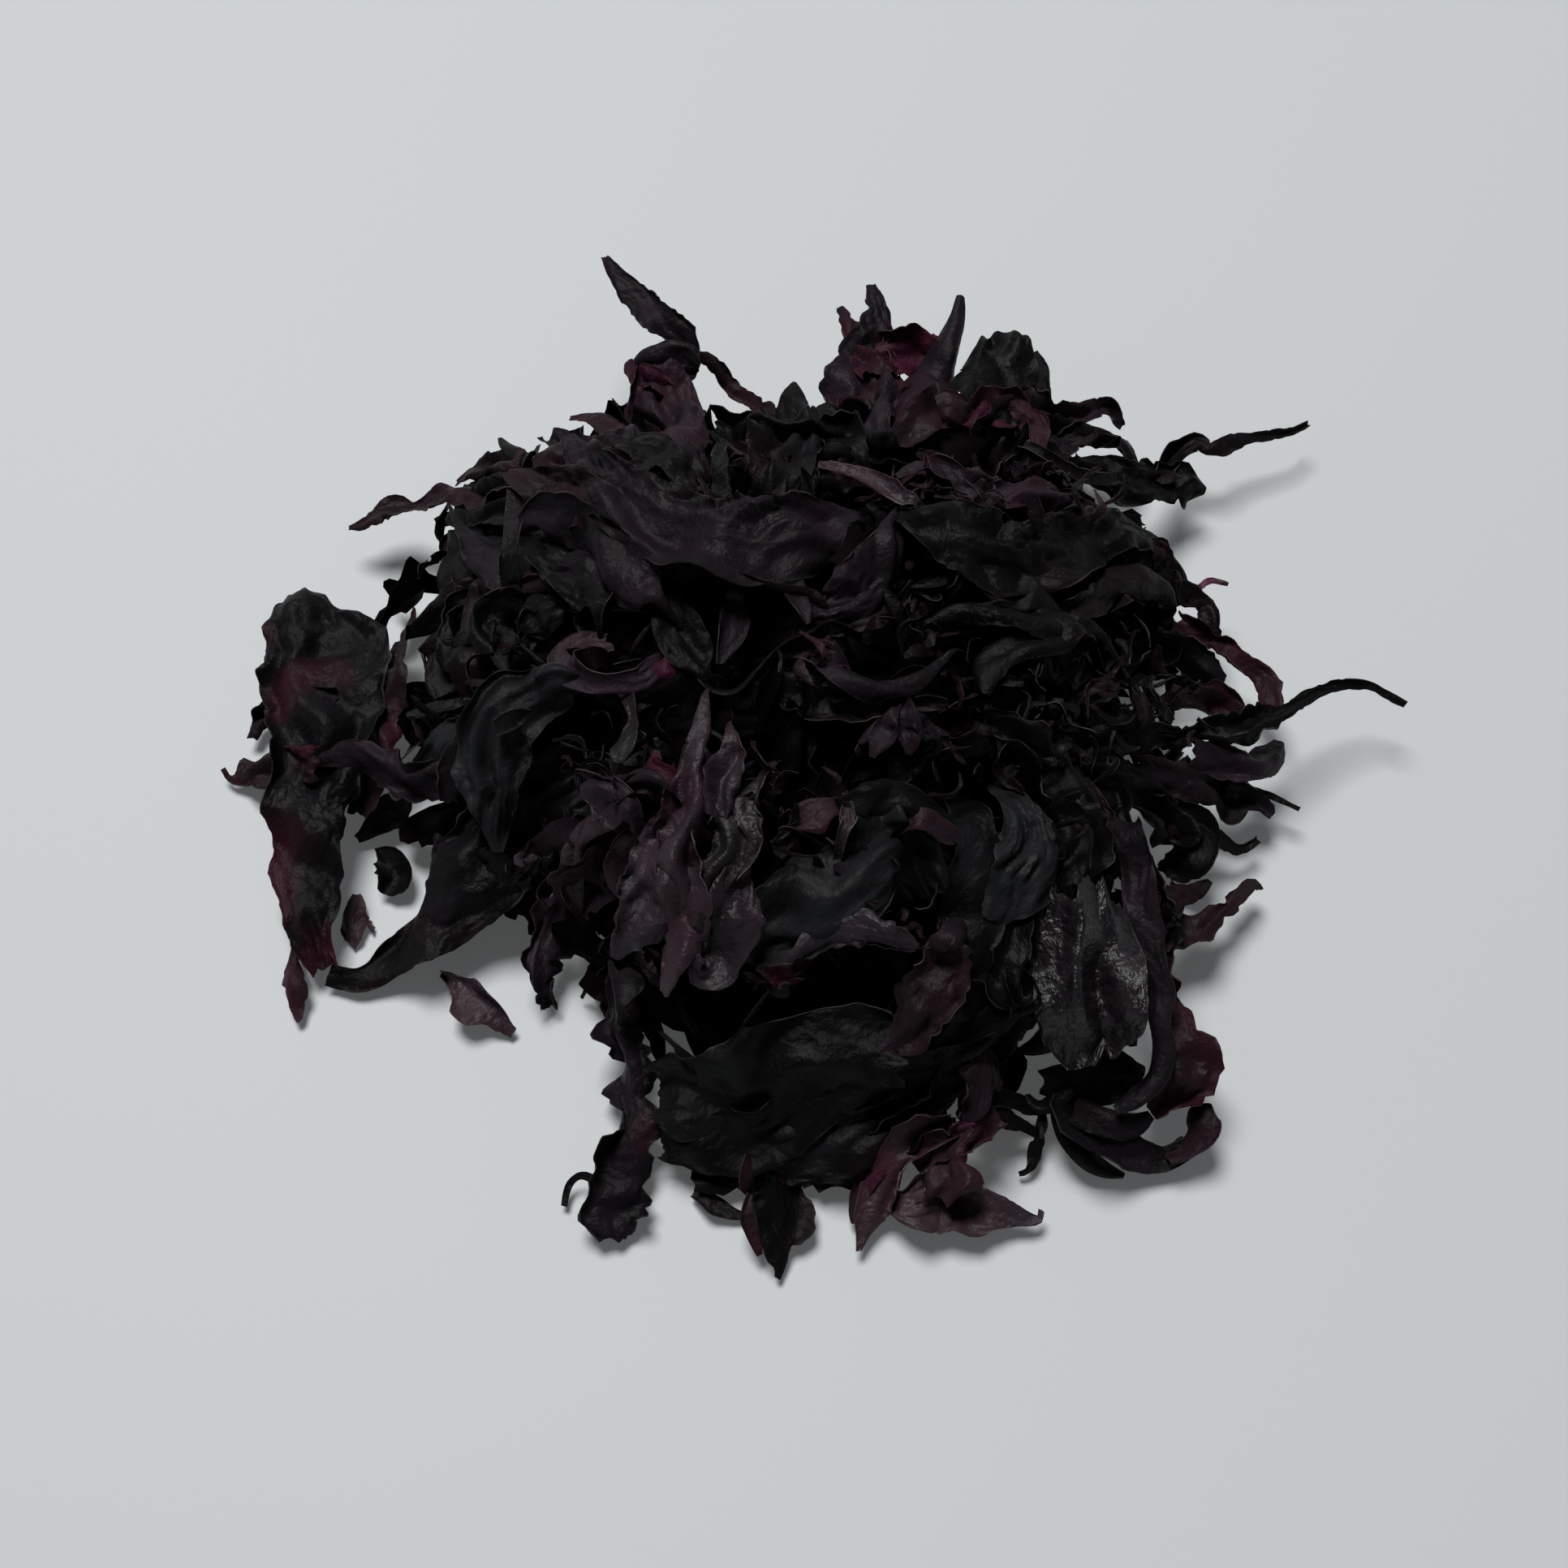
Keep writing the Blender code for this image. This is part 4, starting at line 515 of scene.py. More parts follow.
# Where small crinkled bits gather: (x, y, height, reach, how many, tint)
CRUMBS = (
    (37, 60, 52, 5, 16, 0.35), (29, 56, 54, 4, 12, 0.5), (42, 68, 52, 4, 8, 0.2),
    (7, 40, 56, 4, 14, 0.7), (58, 36, 50, 5, 14, 0.15), (64, 25, 46, 6, 14, 0.1),
    (74, 33, 43, 6, 14, 0.2), (82, 27, 36, 6, 14, 0.25), (92, 33, 28, 6, 12, 0.3),
    (78, 45, 42, 5, 10, 0.1), (95, 22, 26, 5, 10, 0.3), (57, 15, 48, 6, 14, 0.2),
    (72, 9, 38, 6, 12, 0.15), (51, 92, 54, 7, 14, 0.6), (70, 97, 46, 6, 12, 0.5),
    (33, 88, 57, 5, 8, 0.7), (-14, 96, 50, 6, 12, 0.2), (-1, 94, 52, 5, 8, 0.2),
    (38, 15, 53, 5, 10, 0.4), (15, -17, 50, 5, 8, 0.4), (26, -27, 44, 5, 8, 0.5),
    (67, -8, 44, 4, 8, 0.4), (-59, -12, 24, 5, 10, 0.4), (-47, 7, 48, 5, 10, 0.2),
    (-36, 19, 52, 5, 8, 0.3), (-13, 11, 56, 5, 12, 0.5), (-5, -1, 55, 5, 12, 0.3),
    (6, -9, 53, 4, 8, 0.4), (-2, -42, 38, 4, 8, 0.6), (-66, 44, 40, 5, 8, 0.2),
)


# The mound

def mound_reach(bearing):
    """How far the mound reaches from its centre at a bearing in radians from +X."""
    at = (bearing % math.tau) / math.tau * len(MOUND_REACH)
    i = int(at) % len(MOUND_REACH)
    blend = (1.0 - math.cos(math.pi * (at - int(at)))) / 2.0
    return MOUND_REACH[i] * (1.0 - blend) + MOUND_REACH[(i + 1) % len(MOUND_REACH)] * blend


def mound_profile(share):
    """The mound's height at a share of its reach, as a share of its height at the middle."""
    return max(0.0, 1.0 - share ** MOUND_ROUNDING) ** MOUND_SIDE


def mound_share(x, y):
    """How far out a point is, as a share of the mound's reach that way."""
    offset = Vector((x, y)) - MOUND_CENTRE
    return offset.length / mound_reach(math.atan2(offset.y, offset.x))


def mound_height(x, y, share=1.0):
    """The height above the ground of the mound, or of one inside it that is a share its size."""
    return MOUND_HEIGHT * share * mound_profile(mound_share(x, y) / share)


def mound_outward(x, y):
    """The direction that points out of the mound's surface."""
    step = 4.0
    slope_x = (mound_height(x + step, y) - mound_height(x - step, y)) / (2 * step)
    slope_y = (mound_height(x, y + step) - mound_height(x, y - step)) / (2 * step)
    return Vector((-slope_x, -slope_y, 1.0)).normalized()


def mound_point(bearing, share, rise=0.0):
    """The point of the mound at a bearing in radians and a share of its reach, raised by rise."""
    out = share * mound_reach(bearing)
    x = MOUND_CENTRE.x + out * math.cos(bearing)
    y = MOUND_CENTRE.y + out * math.sin(bearing)
    return Vector((x, y, mound_height(x, y) + rise))


def lift(x, y, z):
    """The point at height z on the line of sight to (x, y)."""
    ground = Vector((x, y, EYE_LEVEL))
    return EYE + (ground - EYE) * ((EYE.z - z) / (EYE.z - EYE_LEVEL))


def seen_at(point):
    """Where the line of sight through a point meets the EYE_LEVEL, the opposite of lift."""
    return EYE + (point - EYE) * ((EYE.z - EYE_LEVEL) / (EYE.z - point.z))


def in_hollow(point):
    """Whether the eye sees a point in front of a hollow."""
    ground = seen_at(point)
    return any((ground.xy - Vector((x, y))).length < radius for x, y, radius in HOLLOWS)


# Fronds laid on the mound, as spines that the node tree covers with sheets

class Spine(NamedTuple):
    """A spine in place: knots with their half widths, and which way the sheet's face points."""
    knots: list                   # (x, y, z, half width)
    outwards: list
    roll: float
    curl: float
    ruffle: float
    tint: float
    glow: float
    torn: float
    pale: float = 1.0


def lay_frond(row):
    """The spine of a frond of the table, with its heights worked in.

    A root that lies clear over the core goes on and dips into it.
    """
    knots = [Vector((*lift(x, y, z), half)) for x, y, z, half in row.spine]
    before, root = knots[-2:]
    if 0.0 < mound_height(root.x, root.y, CORE_SHARE) < root.z:
        onward = root.xy + (root.xy - before.xy).normalized() * TUCK_LENGTH
        depth = mound_height(*onward, CORE_SHARE) - TUCK_DEPTH
        knots.append(Vector((*onward, max(TUCK_DEPTH, depth), root.w * TUCK_NARROWING)))
    outwards = [mound_outward(knot.x, knot.y).lerp(TOWARDS_EYE, row.facing).normalized()
                for knot in knots]
    return Spine(knots, outwards, row.roll, row.curl, row.ruffle, row.tint, row.glow, row.torn,
                 row.pale)


SPINE_NUMBERS = ("half_width", "roll", "curl", "ruffle", "tint", "glow", "torn", "pale", "phase")


def spine_mesh(name, spines, seed):
    """A mesh of the spines, one row of edges each, with what the node tree reads as attributes."""
    draw = random.Random(seed)
    points, edges, rows, outwards = [], [], [], []
    for spine in spines:
        phase = draw.uniform(0.0, 50.0)
        for i, (knot, outward) in enumerate(zip(spine.knots, spine.outwards)):
            if i:
                edges.append((len(points) - 1, len(points)))
            points.append((knot.to_3d() + SHIFT) * MM)
            outwards.extend(outward)
            rows.append((max(NARROWEST, knot.w) * MM, math.radians(spine.roll),
                         math.radians(spine.curl), spine.ruffle * MM, spine.tint, spine.glow,
                         spine.torn, spine.pale, phase))
    mesh = bpy.data.meshes.new(name)
    mesh.from_pydata(points, edges, [])
    for key, values in zip(SPINE_NUMBERS, zip(*rows)):
        mesh.attributes.new(key, "FLOAT", "POINT").data.foreach_set("value", values)
    mesh.attributes.new("outward", "FLOAT_VECTOR", "POINT").data.foreach_set("vector", outwards)
    return mesh


# Sums in node trees

class Field:
    """An output of a node, with the sums that a frond's shape and finish are written in."""

    def __init__(self, tree, socket):
        self.tree = tree
        self.socket = socket

    def __add__(self, other):
        return reckon("ADD", self, other)

    def __sub__(self, other):
        return reckon("SUBTRACT", self, other)

    def __rsub__(self, other):
        return reckon("SUBTRACT", other, self)

    def __mul__(self, other):
        return reckon("MULTIPLY", self, other)

    def __truediv__(self, other):
        return reckon("DIVIDE", self, other)

    def __pow__(self, other):
        return reckon("POWER", self, other)

    def __abs__(self):
        return reckon("ABSOLUTE", self)

    __radd__ = __add__
    __rmul__ = __mul__

    def part(self, axis):
        """One number of a vector."""
        return add_node(self.tree, "ShaderNodeSeparateXYZ", {0: self}, output=axis)


def feed(value, socket):
    """Link a field to a socket, or set a plain value on it."""
    if isinstance(value, Field):
        value.tree.links.new(value.socket, socket)
    elif socket.type == "VECTOR" and isinstance(value, (int, float)):
        socket.default_value = (value, value, value)
    else:
        socket.default_value = value


def add_node(tree, kind, inputs=None, output=0, **settings):
    """One output of a new node, with the node's settings and inputs filled in."""
    node = tree.nodes.new(kind)
    for key, value in settings.items():
        setattr(node, key, value)
    for key, value in (inputs or {}).items():
        feed(value, node.inputs[key])
    return Field(tree, node.outputs[output])


def is_vector(value):
    """Whether a field or a plain value has three numbers."""
    if isinstance(value, Field):
        return value.socket.type in ("VECTOR", "RGBA")
    return not isinstance(value, (int, float))


def tree_of(values):
    """The node tree that these values are worked out in."""
    return next(value.tree for value in values if isinstance(value, Field))


def reckon(operation, *values):
    """A Math node, or a Vector Math node where one of the values is a vector."""
    tree = tree_of(values)
    node = tree.nodes.new("ShaderNodeVectorMath" if any(map(is_vector, values)) else "ShaderNodeMath")
    node.operation = operation
    for value, socket in zip(values, node.inputs):
        feed(value, socket)
    return Field(tree, next(output for output in node.outputs if output.enabled))


def vector_of(*parts):
    """A vector of three numbers."""
    return add_node(tree_of(parts), "ShaderNodeCombineXYZ", dict(enumerate(parts)))


def eased(value, low, high, start=0.0, end=1.0):
    """Runs smoothly from start to end as the value goes from low to high."""
    return add_node(value.tree, "ShaderNodeMapRange", dict(enumerate((value, low, high, start, end))),
                    interpolation_type="SMOOTHSTEP")


def uneven(place, size, detail=0.0):
    """Soft random unevenness of about -1 to 1, with lumps of about this size."""
    return add_node(place.tree, "ShaderNodeTexNoise",
                    {"Vector": place, "Scale": 1.0 / size, "Detail": detail}, normalize=False)


def facets(place, size):
    """Facets that meet in sharp creases, of about -0.4 to 0.4, as crumpled paper has them."""
    return 0.45 - add_node(place.tree, "ShaderNodeTexVoronoi",
                           {"Vector": place, "Scale": 1.0 / size}, output="Distance")


def named(tree, name, data_type="FLOAT"):
    """A named attribute of the geometry."""
    return add_node(tree, "GeometryNodeInputNamedAttribute", {"Name": name}, "Attribute",
                    data_type=data_type)


def captured(geometry, **fields):
    """Keep fields as they are on this geometry, for use after it has changed."""
    node = geometry.tree.nodes.new("GeometryNodeCaptureAttribute")
    feed(geometry, node.inputs["Geometry"])
    for key, field in fields.items():
        node.capture_items.new("VECTOR" if is_vector(field) else "FLOAT", key)
        feed(field, node.inputs[key])
    return [Field(geometry.tree, node.outputs[key]) for key in ("Geometry", *fields)]


def kept(geometry, key, field):
    """Store a field under a name, for the finish to read."""
    return add_node(geometry.tree, "GeometryNodeStoreNamedAttribute",
                    {"Geometry": geometry, "Name": key, "Value": field},
                    data_type="FLOAT_VECTOR" if is_vector(field) else "FLOAT", domain="POINT")


SLIGHTEST_BEND = 0.0007           # radians, so that nothing is divided by nothing
LIP_START = 0.66                  # how far out the lip starts, as a share of the half width
SETTLE_SOFTNESS = 1.2             # how softly a sheet comes to rest on the ground

# The frond tree's sizes, in metres unless said otherwise
TREE_INPUTS = (
    ("Cells Across", "NodeSocketInt", 12),
    ("Cell Length", "NodeSocketFloat", 1.3 * MM),
    ("Lobe Depth", "NodeSocketFloat", 0.45),       # share of the width
    ("Bay Depth", "NodeSocketFloat", 0.45),        # share of the width
    ("Tear Depth", "NodeSocketFloat", 2.4 * MM),
    ("Twist", "NodeSocketFloat", 0.35),            # radians
    ("Swell Height", "NodeSocketFloat", 3.0 * MM),
    ("Fold Height", "NodeSocketFloat", 4.6 * MM),
    ("Pleat Height", "NodeSocketFloat", 2.0 * MM),
    ("Crease Height", "NodeSocketFloat", 3.0 * MM),
    ("Crumple Height", "NodeSocketFloat", 1.2 * MM),
    ("Tumble", "NodeSocketFloat", 3.0 * MM),
)


def frond_tree():
    """The tree that lays a sheet along each spine."""
    tree = bpy.data.node_groups.new("dulse_fronds", "GeometryNodeTree")
    tree.interface.new_socket("Spines", in_out="INPUT", socket_type="NodeSocketGeometry")
    for key, kind, value in TREE_INPUTS:
        tree.interface.new_socket(key, in_out="INPUT", socket_type=kind).default_value = value
    tree.interface.new_socket("Material", in_out="INPUT", socket_type="NodeSocketMaterial")
    tree.interface.new_socket("Sheets", in_out="OUTPUT", socket_type="NodeSocketGeometry")
    given = tree.nodes.new("NodeGroupInput")
    size = {key: Field(tree, given.outputs[key]) for key, _, _ in TREE_INPUTS}

    # the spine, smooth and evenly divided
    curve = add_node(tree, "GeometryNodeMeshToCurve", {"Mesh": Field(tree, given.outputs["Spines"])})
    curve = add_node(tree, "GeometryNodeCurveSplineType", {"Curve": curve},
                     spline_type="CATMULL_ROM")
    curve = add_node(tree, "GeometryNodeSetSplineResolution", {"Geometry": curve, "Resolution": 16})
    curve = add_node(tree, "GeometryNodeResampleCurve",
                     {"Curve": curve, "Length": size["Cell Length"]}, mode="LENGTH")
    here = add_node(tree, "GeometryNodeInputPosition")
    curve, centre, forward, run, length = captured(
        curve, centre=here, forward=add_node(tree, "GeometryNodeInputTangent"),
        run=add_node(tree, "GeometryNodeSplineParameter", output="Length"),
        length=add_node(tree, "GeometryNodeSplineLength", output="Length"))

    # the line across, from -1 at one edge to 1 at the other
    line = add_node(tree, "GeometryNodeCurvePrimitiveLine", {"Start": (-1, 0, 0), "End": (1, 0, 0)})
    line = add_node(tree, "GeometryNodeResampleCurve",
                    {"Curve": line, "Count": size["Cells Across"]}, mode="COUNT")
    line, across = captured(line, across=here.part("X"))
    sheet = add_node(tree, "GeometryNodeCurveToMesh", {"Curve": curve, "Profile Curve": line})

    half_width, roll, curl, ruffle, torn, phase = (
        named(tree, key) for key in ("half_width", "roll", "curl", "ruffle", "torn", "phase"))
    outward = named(tree, "outward", "FLOAT_VECTOR")
    outer = abs(across)
    edge_side = reckon("SIGN", across)
    breadth = eased(half_width, 1 * MM, 7 * MM, 0.15, 1.0)
    own = phase * 0.37            # puts each frond at its own place in the unevenness

    # which way the sheet faces, with a slow twist along it
    twist = uneven(vector_of(run, own, 0.0), 38 * MM) * size["Twist"]
    face = reckon("NORMALIZE", outward - forward * reckon("DOT_PRODUCT", outward, forward))
    face = add_node(tree, "ShaderNodeVectorRotate",
                    {"Vector": face, "Axis": forward, "Angle": roll + twist},
                    rotation_type="AXIS_ANGLE")
    sideways = reckon("CROSS_PRODUCT", forward, face)

    # the outline: pointed lobes, and small torn bays between them
    edge_place = vector_of(run, edge_side * 0.05, own)
    points = 0.28 - abs(uneven(edge_place, 14 * MM)) * 1.5
    lobes = points * size["Lobe Depth"] * (0.3 + torn * 0.7)
    bays = eased(uneven(edge_place, 7 * MM, 1.0), 0.12, 0.4) * size["Bay Depth"] * torn
    tears = eased(uneven(edge_place, 2.8 * MM, 2.0), 0.0, 0.5) * size["Tear Depth"] * torn
    reach = half_width * (1.0 + (lobes - bays) * outer) - tears * outer * breadth
    ragged = uneven(vector_of(across * half_width, own, 0.0), 4 * MM, 2.0) * breadth * 5 * MM
    from_end = reckon("MINIMUM", run, length - run)
    end_shift = ragged * eased(from_end, 0.0, 9 * MM, 1.0, 0.0)

    # the bend across, and the lips that the edges dry into
    bend = curl * (0.55 + uneven(vector_of(run, own, 5.0), 26 * MM) * 1.7) + SLIGHTEST_BEND
    over = reckon("SINE", bend * across) / bend
    up = (1.0 - reckon("COSINE", bend * across)) / bend
    lip = reckon("MAXIMUM", outer - LIP_START, 0.0) ** 2.0
    lip_turn = uneven(vector_of(run, edge_side * 0.05, own + 3.0), 13 * MM) * 4.0
    up = up + lip * lip_turn
    over = over - across * lip * abs(lip_turn) * 0.5

    # swells, folds that run along the frond and draw together where it narrows, creases,
    # crumples and the ruffled edges
    breadth_place = across * half_width
    place = vector_of(run, breadth_place, own)
    gathered = across * (half_width * 0.7 + 2.5 * MM)
    wander = uneven(place, 18 * MM) * 7.0 * MM
    fold_place = vector_of(run * 0.4, gathered + wander, own)
    swell = uneven(vector_of(run * 0.7, breadth_place, own), 17 * MM) * size["Swell Height"]
    folds = uneven(fold_place, 6.5 * MM) * size["Fold Height"] * (0.5 + torn)
    strength = eased(uneven(place, 22 * MM), -0.3, 0.4)
    pleats = (0.3 - abs(uneven(fold_place, 2.6 * MM))) * size["Pleat Height"] * strength
    warped = place + vector_of(uneven(place, 6 * MM), uneven(place, 7 * MM), 0.0) * (2.5 * MM)
    creases = facets(warped, 10 * MM) * size["Crease Height"] * (-0.4 - torn)
    crumple = facets(warped, 4 * MM) * size["Crumple Height"] * (0.35 + torn)
    wave = uneven(vector_of(run, edge_side * 0.05, own + 9.0), 8.5 * MM, 0.5)
    ripple = uneven(vector_of(run, edge_side * 0.05, own + 6.0), 4.2 * MM)
    waves = (wave * 2.4 * outer ** 2.2 + ripple * 1.3 * outer ** 5.0) * ruffle
    height = (swell + folds + pleats + creases + crumple + waves) * breadth

    # a sheet that dries also shrinks and tumbles to all sides
    shoves = [uneven(vector_of(run, breadth_place, own + 20.0 * (i + 1)), 12 * MM) for i in range(3)]
    tumble = vector_of(*shoves) * (size["Tumble"] * breadth * (0.25 + torn))

    spot = centre + sideways * (over * reach) + face * (up * reach + height) + forward * end_shift
    spot = spot + tumble
    above = spot.part("Z") - GROUND_CLEARANCE * MM
    settled = (above + reckon("SQRT", above * above + (SETTLE_SOFTNESS * MM) ** 2)) * 0.5
    spot = vector_of(spot.part("X"), spot.part("Y"), settled + GROUND_CLEARANCE * MM)

    sheets = add_node(tree, "GeometryNodeSetPosition", {"Geometry": sheet, "Position": spot})
    sheets = kept(sheets, "across", across)
    sheets = kept(sheets, "place", place)
    sheets = add_node(tree, "GeometryNodeSetShadeSmooth", {"Geometry": sheets})
    sheets = add_node(tree, "GeometryNodeRealizeInstances", {"Geometry": sheets})
    sheets = add_node(tree, "GeometryNodeSetMaterial",
                      {"Geometry": sheets, "Material": Field(tree, given.outputs["Material"])})
    feed(sheets, tree.nodes.new("NodeGroupOutput").inputs[0])
    return tree


def put_in_scene(name, data):
    """A new object in the scene."""
    obj = bpy.data.objects.new(name, data)
    bpy.context.scene.collection.objects.link(obj)
    return obj


def set_inputs(modifier, **values):
    """Set a Geometry Nodes modifier's inputs, by the names that the tree gives them."""
    for item in modifier.node_group.interface.items_tree:
        key = item.name.lower().replace(" ", "_")
        if item.item_type == "SOCKET" and item.in_out == "INPUT" and key in values:
            modifier[item.identifier] = values[key]


def finished(obj):
    """Turn what the object's modifiers make into its plain mesh."""
    bpy.context.view_layer.update()
    evaluated = obj.evaluated_get(bpy.context.evaluated_depsgraph_get())
    mesh = bpy.data.meshes.new_from_object(evaluated)
    obj.modifiers.clear()
    obj.data = mesh
    mesh.name = obj.name
    mesh.set_sharp_from_angle(angle=math.radians(SHARP_ANGLE))
    return obj


def make_fronds(name, spines, material, seed, **sizes):
    """A piece of the heap: the sheets along the spines, with their thickness."""
    obj = put_in_scene(name, spine_mesh(name, spines, seed))
    sheets = obj.modifiers.new("sheets", "NODES")
    sheets.node_group = sheet_tree
    set_inputs(sheets, material=material, **sizes)
    wall = obj.modifiers.new("thickness", "SOLIDIFY")
    wall.thickness = SHEET_THICKNESS * MM
    wall.offset = 0.0
    return finished(obj)


# Finishes

SLATE = (0.0140, 0.0146, 0.0160, 1.0)
BLUE_BLACK = (0.0014, 0.0014, 0.0020, 1.0)
CHARCOAL = (0.0046, 0.0036, 0.0046, 1.0)
PURPLE = (0.0136, 0.0080, 0.0124, 1.0)
BROWN = (0.0210, 0.0100, 0.0130, 1.0)
CRIMSON = (0.0360, 0.0062, 0.0165, 1.0)
# painted light: the red of light shining through a thin frond
SHINE_THROUGH = (0.0560, 0.0058, 0.0170, 1.0)
FADED = (0.0420, 0.0330, 0.0330, 1.0)
# painted highlight: the light that the edges of the fronds catch
EDGE_HIGHLIGHT = (0.0800, 0.0600, 0.0640, 1.0)


def mixed(share, one, other):
    """A colour between two others."""
    return add_node(share.tree, "ShaderNodeMix", {0: share, 6: one, 7: other}, 2, data_type="RGBA")


def attribute(tree, name, output="Fac"):
    """A value that a piece's own mesh carries."""
    return add_node(tree, "ShaderNodeAttribute", output=output, attribute_name=name)


def new_material(name):
    """A new material, its node tree and its shader."""
    material = bpy.data.materials.new(name)
    material.use_nodes = True
    return material, material.node_tree, material.node_tree.nodes["Principled BSDF"]


def leaf_finish(name, roughness, wrinkle, wrinkle_size, crease_size, gloss, painted_shade=1.0):
    """Dried frond: almost black, with painted red shine-through and a painted highlight on its edges.

    The last argument darkens all its colours as painted shade: it is 1 for a frond in the open,
    and less for one that lies deep in the heap.
    """
    material, tree, shader = new_material(name)
    place = attribute(tree, "place", "Vector")
    outer = abs(attribute(tree, "across"))

    tint = attribute(tree, "tint") * 0.8 + uneven(place, 14 * MM, 1.0) * 0.2 + 0.2
    colour = add_node(tree, "ShaderNodeValToRGB", {0: tint})
    ramp = colour.socket.node.color_ramp
    stops = ((0.0, SLATE), (0.2, BLUE_BLACK), (0.44, CHARCOAL), (0.68, PURPLE), (0.88, BROWN),
             (1.0, CRIMSON))
    while len(ramp.elements) < len(stops):
        ramp.elements.new(0.5)
    # the ramp's colours, darkened by the last argument as painted shade
    for element, (at, shown) in zip(ramp.elements, stops):
        element.position = at
        element.color = (*(painted_shade * value for value in shown[:3]), 1.0)
    pale = attribute(tree, "pale")
    colour = reckon("MULTIPLY", colour, pale)
    faded = eased(uneven(place, 11 * MM, 1.0), -0.2, 0.3) * eased(pale, 1.6, 2.6, 0.0, 0.75)
    colour = mixed(faded, colour, FADED)

    # painted light: red as if shining through, in random patches that grow towards the edges
    painted_shine_patches = eased(uneven(place, 24 * MM, 1.0), 0.0, 0.5) * (0.4 + outer * 0.6)
    glow = reckon("MINIMUM", attribute(tree, "glow") * painted_shine_patches, 1.0)
    colour = mixed(glow * painted_shade, colour, SHINE_THROUGH)
    # painted highlight along the edges, broken up at random
    edge = eased(outer, 0.95, 1.0) * eased(uneven(place, 6 * MM), -0.2, 0.5)
    colour = mixed(edge * (0.7 * painted_shade), colour, EDGE_HIGHLIGHT)
    feed(colour, shader.inputs["Base Color"])

    rough = roughness + uneven(place, 9 * MM, 2.0) * 0.12
    feed(rough, shader.inputs["Roughness"])
    shader.inputs["Specular IOR Level"].default_value = gloss
    warped = place + vector_of(uneven(place, 3 * MM), uneven(place, 4 * MM), 0.0) * (1.5 * MM)
    creases = facets(warped, crease_size) * (0.3 + attribute(tree, "torn"))
    grain = creases * wrinkle + uneven(place, wrinkle_size, 3.0) * (wrinkle * 0.3)
    bump = add_node(tree, "ShaderNodeBump", {"Strength": 1.0, "Distance": 1.0 * MM, "Height": grain})
    feed(bump, shader.inputs["Normal"])
    return material


def core_finish():
    """The inside of the heap, near black as painted shade, since hardly any light comes there."""
    material, tree, shader = new_material("dulse_inside")
    place = add_node(tree, "ShaderNodeTexCoord", output="Object")
    colour = mixed(eased(uneven(place, 12 * MM, 2.0), -0.3, 0.4), (0.001, 0.001, 0.001, 1.0),
                   (0.004, 0.002, 0.003, 1.0))
    feed(colour, shader.inputs["Base Color"])
    shader.inputs["Roughness"].default_value = 0.8
    shader.inputs["Specular IOR Level"].default_value = 0.05
    return material


# The core, and fronds that no table lists

CORE_SIDES = 160
CORE_RINGS = 56
CORE_LUMPS = 7.0                  # how many lumps there are from the middle to the rim
CORE_UNEVENNESS = 0.09            # their height, as a share of the core


def make_core(material):
    """The mound inside the heap, crumpled, with a flat underside."""
    bm = bmesh.new()
    bmesh.ops.create_uvsphere(bm, u_segments=CORE_SIDES, v_segments=2 * CORE_RINGS, radius=1.0)
    below = [vert for vert in bm.verts if vert.co.z < -0.5 / CORE_RINGS]
    bmesh.ops.delete(bm, geom=below, context="VERTS")
    bmesh.ops.contextual_create(bm, geom=[edge for edge in bm.edges if edge.is_boundary])
    for vert in bm.verts:
        ball = vert.co.copy()
        lumps = noise.fractal(ball * CORE_LUMPS, 0.9, 2.2, 4) * CORE_UNEVENNESS
        size = CORE_SHARE * (0.97 + lumps)
        reach = mound_reach(math.atan2(ball.y, ball.x)) * size
        height = MOUND_HEIGHT * size * mound_profile(min(1.0, ball.xy.length))
        place = Vector((MOUND_CENTRE.x + ball.x * reach, MOUND_CENTRE.y + ball.y * reach,
                        height + GROUND_CLEARANCE))
        vert.co = (place + SHIFT) * MM
    bmesh.ops.recalc_face_normals(bm, faces=bm.faces[:])
    mesh = bpy.data.meshes.new("dulse_core")
    bm.to_mesh(mesh)
    bm.free()
    mesh.shade_smooth()
    mesh.materials.append(material)
    return put_in_scene("dulse_core", mesh)


def table_places():
    """Places along the fronds of the table, with the height and half width there."""
    places = []
    for row in FRONDS:
        knots = [Vector(knot) for knot in row.spine]
        for one, other in zip(knots, knots[1:]):
            places.extend(one.lerp(other, share) for share in (0.0, 0.33, 0.67))
        places.append(knots[-1])
    return places


SEARCH_REACH = 14.0
KEPT_CLEAR = 0.9                  # the share of a frond's half width that others don't hide
PLACES = table_places()
NEAR = KDTree(len(PLACES))
for index, spot in enumerate(PLACES):
    NEAR.insert((spot.x, spot.y, 0.0), index)
NEAR.balance()


def hides_frond(point):
    """Whether the eye sees a point in front of a frond of the table."""
    ground = seen_at(point)
    return any(away < PLACES[index].w * KEPT_CLEAR and point.z > PLACES[index].z - 1.0
               for _, index, away in NEAR.find_range((ground.x, ground.y, 0.0), SEARCH_REACH))


def out_of_the_way(spines):
    """The spines without those that would fill a hollow or hide a frond of the table."""
    return [spine for spine in spines
            if not any(in_hollow(knot.to_3d()) or hides_frond(knot.to_3d())
                       for knot in spine.knots[1:])]


